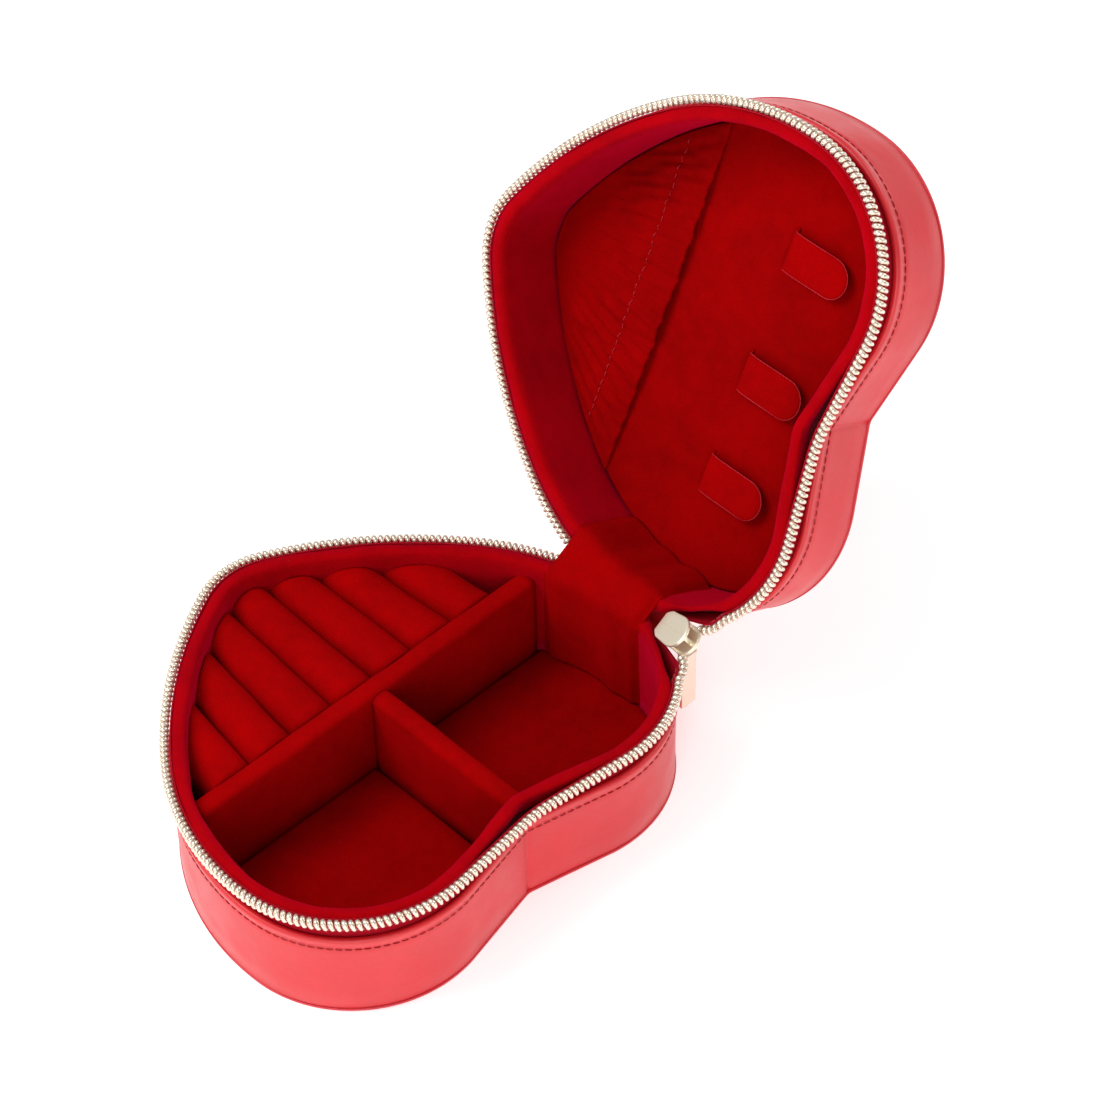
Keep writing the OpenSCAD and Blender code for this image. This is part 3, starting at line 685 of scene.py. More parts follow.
for half_name, half, height in HALVES:
    wall_rows = seam_pull(ring_rows(wall_profile(height)))
    wall = loft(f"{half_name}_leather_wall_skin", half, wall_rows, LEATHER, wrap_v=False)
    ripple(wall, 0.16, 17, 3.1 if half_name == "base" else 8.7)
    place(wall, half_name, "leather_outer", f"{half_name}_leather_wall")

    stitches = stitch_row(f"{half_name}_rim_stitches", half, LEATHER_D + 0.02, RIM_DEPTH + 3.45,
                          2.05, 1.6, 0.13, THREAD_DARK, tilt=0.06)
    place(stitches, half_name, "leather_outer")

    panel = panel_disc(f"{half_name}_outer_panel_skin", half, LEATHER, LEATHER_D + 0.12,
                       height - LEATHER_T, height, 0.38)
    place(panel, half_name, "leather_outer", "base_bottom_panel" if half_name == "base" else "lid_top_panel")

    near, far = LEATHER_D + 0.16, LEATHER_D - 0.4
    low, top = height - LEATHER_T + 0.08, height - LEATHER_T + 0.5
    bead = rounded([(near, low), (near, top), (far, top), (far, low)], 0.12, 3)
    edge = loft(f"{half_name}_panel_edge_paint", half, ring_rows(bead), LEATHER_EDGE)
    place(edge, half_name, "leather_outer")


# ---------------------------------------------------------------- zip tapes and coils
def slider_axes():
    c, s = math.cos(SLIDER_YAW), math.sin(SLIDER_YAW)
    return np.array([[c, s], [-s, c]])


def into_slider(rows):
    """Bends the zip from its outline on to the slider's axis, and lays the tape back just ahead of it."""
    rows = np.array(rows, float)
    axes = slider_axes()
    local = (rows[..., :2] - SLIDER_C) @ axes.T
    x, y, depth = local[..., 0], local[..., 1], rows[..., 2]
    centre = axes @ (LOBE - SLIDER_C)
    path = centre[1] + np.sqrt(np.maximum(LOBE_R**2 - (x - centre[0]) ** 2, 0))
    here = y > -12
    bend = np.interp(x, [-9, -5.6, 5.0, 9.5], [0, 1, 1, 0]) * np.interp(depth, [4.2, 6.6], [1, 0])
    lay = 0.9 * np.interp(x, [5.4, 6.8, 11, 18], [0, 1, 1, 0])
    lay = lay * np.interp(depth, [1.3, 3.4, 5.0, 7.2], [0, 1, 1, 0])
    local[..., 1] = y - here * (path * bend + lay)
    rows[..., :2] = local @ axes + SLIDER_C
    return rows


def tape_rows():
    """The tape's rows; past the coil's end its top edge drops, to stay inside the slider."""
    rows = ring_rows(tape_profile(), TAPE_RUN)
    local = (rows[..., :2] - SLIDER_C) @ slider_axes().T
    top = np.interp(local[..., 0], [-9, -5, -3.3, 0, 3.2, 4.0], [4.4, 4.0, 3.4, 2.5, 1.5, 0.9])
    rows[..., 2] = np.where(local[..., 1] > -12, np.maximum(rows[..., 2], top), rows[..., 2])
    return into_slider(rows)


def tape_profile():
    """Flat tape: (offset, depth, mix), from between leather and board up to the coil, where mix is 1."""
    skirt = RIM_DEPTH + 9
    outer = [(TAPE_D, skirt, 0), (TAPE_D, RIM_DEPTH + 1, 0), (TAPE_D + 0.02, RIM_DEPTH - 0.1, 0.02),
             (-1.7, RIM_DEPTH - 1.3, 0.35), (-1.4, 4.6, 0.75), (-COIL_T / 2 - 0.07, 3.35, 1),
             (-COIL_T / 2 - 0.05, 1.8, 1), (-COIL_T / 2 - 0.08, 1.2, 1), (-COIL_T / 2 - 0.2, 0.9, 1)]
    inner = [(d - TAPE_T + (0.3 if z < 1.3 else 0), z, m) for d, z, m in outer[::-1]]
    return outer + inner


def coil_loops(half, phase):
    """One row of coil teeth as a continuous helix of monofilament."""
    pitch, wire = 1.5, 0.5
    pts, nrm = ZIP_P[ZIP_RUN], ZIP_N[ZIP_RUN]
    total = walk_at(pts, nrm, np.array([0.0]), False)[-1]
    turns = int((total - 1.2) / pitch)
    per = 18
    k = np.arange(turns * per + 1)
    angle = k * 2 * math.pi / per
    s = 0.6 + (phase + k / per) * pitch
    s = np.clip(s, 0.2, total - 0.2)
    p, nor, _ = walk_at(pts, nrm, s, False)
    half_t, half_h = COIL_T / 2 - wire, COIL_H / 2 - wire
    mid = PART_GAP + COIL_H / 2
    shape = 2.6
    ca, sa = np.cos(angle), np.sin(angle)
    x = np.sign(ca) * abs(ca) ** (2 / shape) * half_t
    z = np.sign(sa) * abs(sa) ** (2 / shape) * half_h
    line = into_slider(np.column_stack([p + nor * x[:, None], mid + z]))
    radius = wire * (1 + 0.3 * np.clip(-z / half_h, 0, 1))
    return tube(half(line), radius, 7)


def tooth_gap_cord(half):
    """The filler cord that runs through the coil."""
    pts, nrm = ZIP_P[ZIP_RUN], ZIP_N[ZIP_RUN]
    line = np.column_stack([pts - nrm * 0.1, np.full(len(pts), PART_GAP + COIL_H / 2 + 0.1)])
    return tube(half(into_slider(line)), 0.5, 8)


TAPE_STITCHES = (("", -1.93, 2.4, 1), ("_low", -1.98, 3.4, 0.98), ("_outer", -1.34, 4.3, 0.85))
for half_name, half, height in HALVES:
    tape = loft(f"{half_name}_zip_tape_cloth", half, tape_rows(), TAPE, wrap_u=False)
    place(tape, half_name, "tape", f"{half_name}_zip_tape")
    coil = part(f"{half_name}_zip_coil_teeth", coil_loops(half, 0.0 if half_name == "base" else 0.5), COIL)
    place(coil, half_name, "coil", f"{half_name}_zip_coil")
    place(part(f"{half_name}_zip_coil_cord", tooth_gap_cord(half), TAPE), half_name, "tape")
    for row_name, d, depth, mix in TAPE_STITCHES:
        sewn = stitch_row(f"{half_name}_tape_stitches{row_name}", half, d, depth, 1.5, 1.12, 0.13,
                          THREAD_PINK, mix, ZIP_RUN[:-6], bend=into_slider)
        place(sewn, half_name, "tape")


# ---------------------------------------------------------------- velvet linings
def lip_reach():
    """How far the lining's padded lip leans out to the tape: less at the notch and at the slider."""
    at_notch = np.exp(-((np.linalg.norm(WALL_P - WALL_P[0], axis=1) / 13) ** 2))
    parked = np.array([SLIDER_C[0], SLIDER_C[1] - 1.5])
    at_slider = np.exp(-((np.linalg.norm(WALL_P - parked, axis=1) / 9) ** 4))
    return 1.7 * (1 - np.clip(0.2 * at_notch + at_slider, 0, 1))


def lining_rows(h):
    """Padded wall: flat against the board below, with a full rounded lip at the top."""
    low = h - LEATHER_T - BOARD_T - 0.25
    lip, top = LINING_LIP_D, LINING_DEPTH
    profile = [
        (LINING_D, low, 0), (LINING_D, RIM_DEPTH + 0.4, 0), (lip - 0.2, RIM_DEPTH - 0.3, 0.1),
        (lip - 0.02, RIM_DEPTH - 2.0, 0.5),
        (lip, top + 2.6, 0.8), (lip, top + 1.5, 1), (lip, top + 0.7, 1.24), (lip - 0.3, top + 0.2, 1.22),
        (lip - 0.8, top - 0.1, 0.95), (lip - 1.05, top - 0.05, 0.5), (INNER_D + 0.35, top + 0.25, 0.1),
        (INNER_D + 0.1, top + 0.95, 0), (INNER_D - 0.05, top + 2.2, 0), (INNER_D - 0.1, top + 4.0, 0),
        (INNER_D - 0.06, top + 6.5, 0), (INNER_D - 0.02, h * 0.5, 0),
        (INNER_D, h * 0.75, 0), (INNER_D, low, 0),
    ]
    lean = lip_reach()
    cols = []
    for d, depth, share in profile:
        shift = lean * share
        cols.append(np.column_stack([WALL_P + (d + shift)[:, None] * WALL_N, np.full(COUNT, depth)]))
    return np.stack(cols, 1)


for half_name, half, height in HALVES:
    # The lining takes the lighter copy of the velvet, as painted light.
    pad = loft(f"{half_name}_lining_velvet", half, lining_rows(height), VELVET_PAINTED_LIGHT)
    ripple(pad, 0.36, 13, 5.3 if half_name == "base" else 1.9, (1, 1, 0.5))
    ripple(pad, 0.12, 4, 2.3, (1, 1, 0.4))
    place(pad, half_name, "velvet_lining", f"{half_name}_lining")


# ---------------------------------------------------------------- floors, dividers and ring rolls
def floor_patch(name, x0, x1, y0, y1, node):
    """A padded velvet floor: the heart's plan cut to a rectangle and tucked down at its edges."""
    bm = bmesh.new()
    plan = around(FLOOR_D + 0.35)
    for p in plan:
        bm.verts.new((p[0], p[1], 0))
    bm.faces.new(bm.verts)
    for co, no in (((x0, 0, 0), (-1, 0, 0)), ((x1, 0, 0), (1, 0, 0)),
                   ((0, y0, 0), (0, -1, 0)), ((0, y1, 0), (0, 1, 0))):
        slice_off(bm, co, no)
    face = bm.faces[:][0]
    edge = np.array([v.co[:2] for v in face.verts])
    bm.free()
    centre = edge.mean(0)
    n = len(edge)
    top, low = FLOOR_PAD_Z + FLOOR_PAD_T, FLOOR_PAD_Z
    levels = [(1.0, low), (1.0, low + 0.5), (1.0, low + 0.9), (0.99, top - 0.35), (0.965, top - 0.08)]
    levels += [(0.965 * (1 - k / 9) ** 0.9, top) for k in range(1, 9)]
    verts = [[*(centre + (e - centre) * s), z] for s, z in levels for e in edge]
    verts = np.array(verts).reshape(len(levels), n, 3).transpose(1, 0, 2)
    nv = len(levels)
    flat = np.vstack([verts.reshape(-1, 3), [[*centre, top]], [[*centre, low]]])
    faces = grid_faces(n, nv, True, False, False)
    a, b = n * nv, n * nv + 1
    faces += [(a, i * nv + nv - 1, ((i + 1) % n) * nv + nv - 1) for i in range(n)]
    faces += [(b, ((i + 1) % n) * nv, i * nv) for i in range(n)]
    obj = fix_normals(new_object(name, flat, faces, VELVET, flat[:, :2] * 0.1))
    ripple(obj, 0.22, 15, 4.4)
    place(obj, "base", "velvet_lining", node)
    return obj


floor_patch("floor_velvet_front", DIV_HI + 0.1, 90, -90, CROSS_LO - 0.1, "base_floor_pad_front")
floor_patch("floor_velvet_back", DIV_HI + 0.1, 90, CROSS_HI + 0.1, 90, "base_floor_pad_back")
floor_patch("floor_velvet_tip", -90, DIV_LO - 0.1, -90, 90, "base_floor_pad_tip")


def soft_bar(name, start, end, half_t, z_low, z_top, crown, mat):
    """A padded board on edge between two plan points, with a rounded top and slightly pillowed sides."""
    start, end = np.array(start, float), np.array(end, float)
    axis = (end - start) / np.linalg.norm(end - start)
    side = np.array([-axis[1], axis[0]])
    length = np.linalg.norm(end - start)
    nu = int(length / 1.6)
    section = []
    for k in range(5):
        section.append((-half_t, z_low + (z_top - crown - z_low) * k / 4))
    section += dome(12, half_t, z_top - crown, crown, 2.5)
    for k in range(5):
        section.append((half_t, z_top - crown - (z_top - crown - z_low) * k / 4))
    rows = []
    for i in range(nu + 1):
        t = i / nu
        p = start + axis * length * t
        nip = 1 - 0.06 * math.exp(-min(t, 1 - t) * length / 2.5)
        rows.append([[*(p + side * q[0] * nip), q[1]] for q in section])
    obj = fix_normals(loft(name, as_is, rows, mat, wrap_u=False, wrap_v=True))
    ripple(obj, 0.3, 11, 6.1, (1, 1, 0.6))
    return obj


def plan_x(y, d, side):
    """X of the inner outline at y, on the tip's side (-1) or the notch's side (+1)."""
    p = around(d)
    pick = p[p[:, 0] < -16] if side < 0 else p[p[:, 0] > 20]
    order = np.argsort(pick[:, 1])
    return float(np.interp(y, pick[order, 1], pick[order, 0]))


def plan_y(x, d):
    """Half width of the inner outline at x."""
    p = around(d)[: COUNT // 2 + 1]
    keep = p[(p[:, 0] < 12)]
    order = np.argsort(keep[:, 0])
    return float(np.interp(x, keep[order, 0], keep[order, 1]))


div_x = (DIV_LO + DIV_HI) / 2
div_y = plan_y(div_x, FLOOR_D) + 0.2
divider = soft_bar("main_divider_velvet", (div_x, -div_y), (div_x, div_y), DIV_T / 2,
                   FLOOR_PAD_Z + 0.1, DIV_TOP, 2.0, VELVET_ROLL)
place(divider, "base", "velvet_rolls", "main_divider")
cross_y = (CROSS_LO + CROSS_HI) / 2
cross_end = plan_x(cross_y, FLOOR_D, 1) + 0.4
cross = soft_bar("cross_divider_velvet", (DIV_HI + 0.15, cross_y), (cross_end, cross_y), DIV_T / 2,
                 FLOOR_PAD_Z + 0.1, CROSS_TOP, 2.0, VELVET_ROLL)
place(cross, "base", "velvet_rolls", "cross_divider")


def roll(k):
    """One ring roll: a domed bar that fans slightly, rounded down where it meets the lining."""
    mid = ROLL_MID_Y + (k - 4) * ROLL_PITCH
    half = ROLL_PITCH / 2 - 0.05
    low = ROLL_TOP - ROLL_DOME

    def fan(y, x):
        return y + (DIV_LO - x) * math.tan(math.radians(FAN_MID - FAN_RATE * y))

    def wall_x(y):
        x = plan_x(y, FLOOR_D + 0.55, -1)
        for _ in range(6):
            x = plan_x(float(np.clip(fan(y, x), -WALL_Y, WALL_Y)), FLOOR_D + 0.55, -1)
        return x
    section = [(-1.0, ROLL_Z), (-1.0, (ROLL_Z + low) / 2), (-1.0, low)]
    section += dome(20, 1.0, low, ROLL_DOME, 2.35)
    section += [(1.0, low), (1.0, (ROLL_Z + low) / 2), (1.0, ROLL_Z)]
    stations = np.concatenate([1 - np.cos(np.linspace(0, math.pi / 2, 9)), np.linspace(1, 2, 14)[1:]])
    rows = []
    for t in stations:
        row = []
        for q, z in section:
            y = mid + q * half
            x_end = wall_x(y)
            x_far = DIV_LO - 0.12
            reach = min(2.0, (x_far - x_end) * 0.6)
            x = x_end + reach * t if t <= 1 else x_end + reach + (x_far - x_end - reach) * (t - 1)
            e = max(0.0, min(1.0, (x - x_end) / max(reach, 1e-6)))
            fall = (1 - (1 - e) ** 2.3) ** (1 / 2.3)
            base_z = low + 2.6
            zz = z if z <= base_z else base_z + (z - base_z) * fall
            x = min(x, x_far)
            row.append([x, fan(y, x), zz])
        rows.append(row)
    obj = fix_normals(loft(f"ring_roll_velvet_{k}", as_is, rows, VELVET_ROLL, wrap_u=False, wrap_v=True))
    ripple(obj, 0.35, 9, 2.0 * k, (0.7, 1, 1), keep=lambda q: np.clip((q[:, 2] - ROLL_Z) / 6, 0, 1))
    place(obj, "base", "velvet_rolls", f"ring_roll_{k}")
    return obj


for k in range(1, 8):
    roll(k)
bed_skin = panel_disc("ring_roll_bed_velvet", as_is, VELVET, FLOOR_D - 0.1,
                      FLOOR_PAD_Z + FLOOR_PAD_T + 0.05, ROLL_Z - 0.1, 0.5)
bm = bmesh.new()
bm.from_mesh(bed_skin.data)
slice_off(bm, ((DIV_LO - 0.1) * MM, 0, 0), (1, 0, 0))
bmesh.ops.holes_fill(bm, edges=[e for e in bm.edges if e.is_boundary])
bmesh.ops.recalc_face_normals(bm, faces=bm.faces)
bm.to_mesh(bed_skin.data)
bm.free()
ripple(bed_skin, 0.2, 8, 1.0)
place(bed_skin, "base", "velvet_rolls", "ring_roll_bed")


# ---------------------------------------------------------------- lid: panel, pocket and straps
lid_pad = panel_disc("lid_panel_velvet", lid_half, VELVET, FLOOR_D - 0.05,
                     PANEL_DEPTH, PANEL_DEPTH + 2.9, 1.0, rings=26)
ripple(lid_pad, 0.35, 22, 9.2)
place(lid_pad, "lid", "velvet_lining", "lid_panel_pad")


def pocket_surface(u, v):
    """u 0 at the tip to 1 at the mouth, v -1 to 1 across: x, y and depth of the pocket's outer face."""
    tip_x = TIP[0] - (TIP_R + FLOOR_D) + 0.9
    bow = 1.5 * (1 - v * v) * u
    x = tip_x + (POCKET_X - 0.3 - tip_x) * u + bow - 0.7 * u
    w = plan_y(min(x, POCKET_X + 1.4), FLOOR_D - 0.5)
    y = w * v
    puff = math.sin(math.pi / 2 * min(1, u)) * max(0.0, math.cos(math.pi / 2 * v)) ** 0.5
    gap = 0.15 + POCKET_LIFT * puff
    return x, y, PANEL_DEPTH - gap


def pleats(u, y):
    """Gathers that run from the hem into the pocket and fade towards the tip."""
    n = noise.noise(Vector((y * 0.28, u * 0.9, 3.7)))
    m = noise.noise(Vector((y * 0.6, u * 1.6, 9.1)))
    stitch_u = 0.745
    near = math.exp(-((u - stitch_u) / 0.3) ** 2)
    fan = y / (0.45 + 0.75 * u)
    fine = math.sin(fan * 1.5 + 3.0 * n) * (0.42 if u > stitch_u else 0.5) * min(1, near + 0.12)
    broad = 1.3 * n * (u ** 0.6) * (1 - 0.3 * near) + 0.8 * m * u
    return fine + broad


def build_pocket():
    nu, nv = 64, 150
    outer = []
    for i in range(nu + 1):
        u = i / nu
        row = []
        for j in range(nv + 1):
            v = -1 + 2 * j / nv
            x, y, z = pocket_surface(u, v)
            hold = max(0.0, 1 - v * v) ** 0.35
            groove = 0.42 * math.exp(-(((x - (POCKET_X - HEM_W)) / 0.6) ** 2))
            folded = z - (pleats(u, y) * hold * min(1, 2.2 * u)) * 0.8 + groove * hold
            row.append([x, y, min(PANEL_DEPTH - 0.12, folded)])
        outer.append(row)
    outer = np.array(outer)
    mouth = outer[-1]
    turn = []
    for k in range(1, 7):
        a = math.pi * k / 6
        ring = mouth.copy()
        ring[:, 0] += 0.55 * math.sin(a)
        ring[:, 2] += 0.5 * (1 - math.cos(a))
        ring[:, 2] = np.minimum(ring[:, 2], PANEL_DEPTH - 0.1)
        turn.append(ring)
    back = []
    for i in range(nu, nu - 14, -1):
        ring = outer[i - 1].copy()
        ring[:, 2] = np.minimum(ring[:, 2] + 1.0, PANEL_DEPTH - 0.08)
        back.append(ring)
    rows = np.concatenate([outer, np.array(turn), np.array(back)])
    obj = loft("lid_pocket_velvet", lid_half, rows, VELVET, wrap_u=False, wrap_v=False)
    return obj, rows


pocket, pocket_rows = build_pocket()
pocket_line = []
for j in range(0, 151):
    v = -0.985 + 1.97 * j / 150
    u_best, best = 0.74, 9e9
    for u in np.linspace(0.66, 0.82, 33):
        x, y, z = pocket_surface(u, v)
        miss = abs(x - (POCKET_X - HEM_W + 1.0 * (1 - v * v)))
        if miss < best:
            best, u_best = miss, u
    pocket_line.append((u_best, v))


def pocket_stitches():
    parts, line = [], []
    for u, v in pocket_line:
        x, y, z = pocket_surface(u, v)
        hold = max(0.0, 1 - v * v) ** 0.35
        line.append([x, y, min(PANEL_DEPTH - 0.12, z - pleats(u, y) * hold * 0.8) - 0.16])
    line = np.array(line)
    length = distances(line)
    pos = 1.2
    while pos + 1.6 < length[-1]:
        s = pos + np.linspace(0, 1.5, 5)
        pts = sample(line, length, s)
        pts[:, 2] += np.array([0.16, 0, -0.04, 0, 0.16])
        parts.append(tube(lid_half(pts), 0.11, 5))
        pos += 2.3
    return gather(parts)


hem_thread = part("pocket_hem_stitches", pocket_stitches(), THREAD_EDGE)
place(hem_thread, "lid", "velvet_lining")
place(pocket, "lid", "velvet_lining", "lid_pocket", "pocket_elastic")


def build_strap(k):
    """A velvet strap: doubled cloth with a rounded end, curving down into the panel at its root."""
    nose = STRAP_W / 2
    y0 = STRAP_Y[k]
    outline_pts = []
    n_side = 16
    for i in range(n_side + 1):
        outline_pts.append((-0.2 + (STRAP_L - nose + 0.2) * i / n_side, -nose))
    for i in range(1, 24):
        a = -math.pi / 2 + math.pi * i / 24
        outline_pts.append((STRAP_L - nose + nose * math.cos(a), nose * math.sin(a)))
    for i in range(n_side + 1):
        outline_pts.append((STRAP_L - nose - (STRAP_L - nose + 0.2) * i / n_side, nose))
    plan = np.array(outline_pts)
    centre_x = np.clip(plan[:, 0], 1.0, STRAP_L - nose)
    spine = np.column_stack([centre_x, np.zeros(len(plan))])

    def level(px):
        sink = math.exp(-(max(px + 0.2, 0) / 1.5) ** 1.4)
        return STRAP_DEPTH + 0.7 * sink

    half_t = STRAP_T / 2
    cols = []
    edge = [(0.0, -half_t), (0.4, -half_t * 1.02), (0.75, -half_t), (0.93, -half_t * 0.86),
            (0.985, -half_t * 0.5), (1.0, 0.0), (0.985, half_t * 0.5), (0.93, half_t * 0.86),
            (0.75, half_t), (0.4, half_t), (0.0, half_t)]
    for share, dz in edge:
        p = spine + (plan - spine) * share
        cols.append(np.column_stack([p[:, 0] + STRAP_X, p[:, 1] + y0, [level(q) + dz for q in p[:, 0]]]))
    rows = np.stack(cols, 1)
    obj = fix_normals(loft(f"strap_velvet_{k + 1}", lid_half, rows, VELVET_ROLL, wrap_u=True, wrap_v=False))
    ripple(obj, 0.14, 6, 3.3 * k)
    edge_line = np.column_stack([plan[:, 0] + STRAP_X, plan[:, 1] + y0,
                                 [level(q) - half_t * 0.35 for q in plan[:, 0]]])
    piping = part(f"strap_cut_edge_{k + 1}", tube(lid_half(edge_line), 0.1, 6), THREAD_EDGE)
    body = f"necklace_strap_{k + 1}"
    place(obj, body, "velvet_lining", f"strap_{k + 1}")
    place(piping, body, "velvet_lining")
    for snap in ("snap_cap", "snap_stud"):
        recolour(f"{snap}_{k + 1}", SNAP)
    slit = []
    for sgn in np.linspace(-1, 1, 12):
        slit.append([STRAP_X - 0.6 - 0.2 * math.cos(sgn * 2), y0 + sgn * (nose + 0.5), PANEL_DEPTH - 0.15])
    lip = part(f"strap_slot_lip_{k + 1}", tube(lid_half(np.array(slit)), 0.35, 8), VELVET_ROLL)
    place(lip, "lid", "velvet_lining")


for k in range(3):
    build_strap(k)


# ---------------------------------------------------------------- hinge: gusset and spine
def opened(y, z):
    q = lid_half(np.array([0.0, y, z]))
    return q[1:]


def bridge(y_in, u):
    """The gusset's line over the hinge at plan y: u from 0 (base lip) to 1 (lid lip)."""
    p0 = np.array([y_in, BASE_H - LINING_DEPTH + 0.35])
    p1 = opened(y_in, LINING_DEPTH - 0.35)
    v = (p1 - p0) / np.linalg.norm(p1 - p0)
    return p0 + (p1 - p0) * u + np.array([-v[1], v[0]]) * 0.1 * 4 * u * (1 - u)


def soften(line, reach):
    """Evens a line's spacing and rounds its corners over about the reach given, with its ends held."""
    far = distances(line)
    even = np.linspace(0, far[-1], 96)
    line = sample(line, far, even)
    weight = np.exp(-(((even[:, None] - even[None]) / reach) ** 2))
    smooth = (weight @ line) / weight.sum(1)[:, None]
    hold = np.exp(-((np.minimum(even, far[-1] - even) / (reach * 1.2)) ** 2))[:, None]
    return smooth * (1 - hold) + line * hold


def build_gusset():
    index = span(111, 77)
    plan = around(GUSSET_D - 0.45)[index]
    nor = WALL_N[index]
    length = distances(plan)
    n = 90
    s = np.linspace(0, length[-1], n)
    plan, nor = sample(plan, length, s), sample(nor, length, s)
    legs, over = 26, 26
    rows = []
    for i, (p, m) in enumerate(zip(plan, nor)):
        t = i / (n - 1)
        row = []
        low_z, top_z = FLOOR_PAD_Z + FLOOR_PAD_T + 0.3, BASE_H - LINING_DEPTH + 0.35
        for j in range(legs):
            z = low_z + (top_z - low_z) * j / legs
            fold = fold_at(t, j / legs * 0.4)
            row.append([p[0] - m[0] * fold, p[1] - m[1] * fold, z])
        for j in range(over + 1):
            u = j / over
            q = bridge(p[1], u)
            fold = fold_at(t, 0.4 + 0.2 * u)
            row.append([p[0], q[0] - 0.5 * fold, q[1] + 0.86 * fold])
        for j in range(1, legs + 1):
            z = LINING_DEPTH - 0.35 + (PANEL_DEPTH - 0.4 - LINING_DEPTH + 0.35) * j / legs
            fold = fold_at(t, 0.6 + 0.4 * j / legs)
            q = lid_half(np.array([p[0] - m[0] * fold, p[1] - m[1] * fold, z]))
            row.append(list(q))
        rows.append(soften(np.array(row), 2.3))
    return loft("hinge_gusset_velvet", as_is, np.array(rows), VELVET_ROLL, wrap_u=False, wrap_v=False)


def fold_at(t, w):
    """Soft upright pleats in the gusset, whose two sides sink into the lining's pile."""
    side = min(t, 1 - t)
    pleat = 0.34 * math.sin(t * 19 + 1.4 * math.sin(w * 5)) * math.exp(-(((t - 0.72) / 0.2) ** 2))
    soft = 0.5 * noise.noise(Vector((t * 5.5, w * 1.2, 1.7)))
    sink = 1.9 * math.exp(-((side / 0.055) ** 2))
    return (pleat + soft) * min(1, side * 9) - sink


gusset = build_gusset()
solid = gusset.modifiers.new("cloth_thickness", "SOLIDIFY")
solid.thickness, solid.offset = 0.0007, 0
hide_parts("hinge_gusset")


def build_spine():
    """Outer leather fold that joins the two walls."""
    index = span(106.6, 74)
    plan = around(LEATHER_D - LEATHER_T)[index]
    steps, reach = 40, 9.5
    rise = RIM_DEPTH - 0.1 - LEATHER_T / 2
    rows = []
    for p in plan:
        y = p[1]
        p0 = np.array([y, BASE_H - rise])
        c0 = p0 + np.array([reach, 0])
        p1, c1 = opened(y, rise), opened(y + reach, rise)
        curve = []
        for i in range(steps + 1):
            t = i / steps
            curve.append((1 - t) ** 3 * p0 + 3 * t * (1 - t) ** 2 * c0 + 3 * t * t * (1 - t) * c1 + t**3 * p1)
        curve = np.array(curve)
        d = np.gradient(curve, axis=0)
        d /= np.linalg.norm(d, axis=1)[:, None]
        nrm = np.column_stack([-d[:, 1], d[:, 0]]) * LEATHER_T / 2
        ring = np.vstack([curve + nrm, (curve - nrm)[::-1]])
        rows.append(np.column_stack([np.full(len(ring), p[0]), ring]))
    obj = loft("hinge_spine_leather", as_is, np.array(rows), LEATHER, wrap_u=False, wrap_v=True, sharp=50)
    return fix_normals(obj), plan


spine, spine_plan = build_spine()
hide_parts("hinge_spine")


# ---------------------------------------------------------------- zip slider, link and pull
def slider_frame(p):
    """Slider's own axes (nose +X, pull side +Y, up +Z) to the row frame."""
    p = np.asarray(p, float)
    c, s = math.cos(SLIDER_YAW), math.sin(SLIDER_YAW)
    x = SLIDER_C[0] + p[..., 0] * c - p[..., 1] * s
    y = SLIDER_C[1] - HINGE_Y + p[..., 0] * s + p[..., 1] * c
    a = -LID_OPEN / 2
    z, ca, sa = p[..., 2], math.cos(a), math.sin(a)
    return np.stack([x, HINGE_Y + y * ca - z * sa, BASE_H + y * sa + z * ca], -1)


slider_frame.flip = False
INNER_FACE = -(COIL_T / 2 + TAPE_T + 0.25)
OUTER_FACE = COIL_T / 2 + 0.2
PLATE_T, BAIL_GAP, BAIL_T = 0.85, 2.05, 0.8


def shield_plan(w):
    tail, nose_r = w * 0.62 / 2, w / 2
    nose_x = SLIDER_L / 2 - nose_r
    pts = [(-SLIDER_L / 2, -tail), (-SLIDER_L / 2 + 1.6, -w / 2 + 0.35), (nose_x * 0.3, -w / 2 + 0.06)]
    for a in np.linspace(0.05, math.pi - 0.05, 33):
        pts.append((nose_x + nose_r * math.sin(a), -nose_r * math.cos(a)))
    pts += [(nose_x * 0.3, w / 2 - 0.06), (-SLIDER_L / 2 + 1.6, w / 2 - 0.35), (-SLIDER_L / 2, tail)]
    return np.array(rounded(pts, 0.35, 3))


def bevelled(plan, y0, y1, bevel):
    """Vertices and faces of a plate with rounded rims, its plan in X-Z and its faces at y0 and y1."""
    centre = plan.mean(0)
    n = len(plan)
    nxt, prv = np.roll(plan, -1, 0), np.roll(plan, 1, 0)
    tan = nxt - prv
    tan /= np.linalg.norm(tan, axis=1)[:, None]
    out = np.column_stack([tan[:, 1], -tan[:, 0]])
    if ((plan - centre) * out).sum() < 0:
        out = -out

    def inset(share):
        return centre + (plan - out * bevel - centre) * share if share else centre + (plan - centre) * 0.02

    cols = [(inset(share), y0) for share in (0.0, 0.35, 0.7)]
    cols += [(plan - out * inward, y) for inward, y in rim_turn(3, bevel, y0, y1)]
    cols += [(inset(share), y1) for share in (0.7, 0.35, 0.0)]
    nv = len(cols)
    verts = np.zeros((n, nv, 3))
    for j, (p, y) in enumerate(cols):
        verts[:, j, 0], verts[:, j, 2], verts[:, j, 1] = p[:, 0], p[:, 1], y
    faces = grid_faces(n, nv, True, False, False)
    faces += [[i * nv for i in range(n)], [i * nv + nv - 1 for i in range(n)][::-1]]
    return verts.reshape(-1, 3), faces


def block(lo, hi, bevel=0.12):
    """A small bevelled block given by its corners."""
    plan = np.array(rounded([(lo[0], lo[2]), (hi[0], lo[2]), (hi[0], hi[2]), (lo[0], hi[2])], bevel * 1.5, 3))
    return bevelled(plan, lo[1], hi[1], bevel)


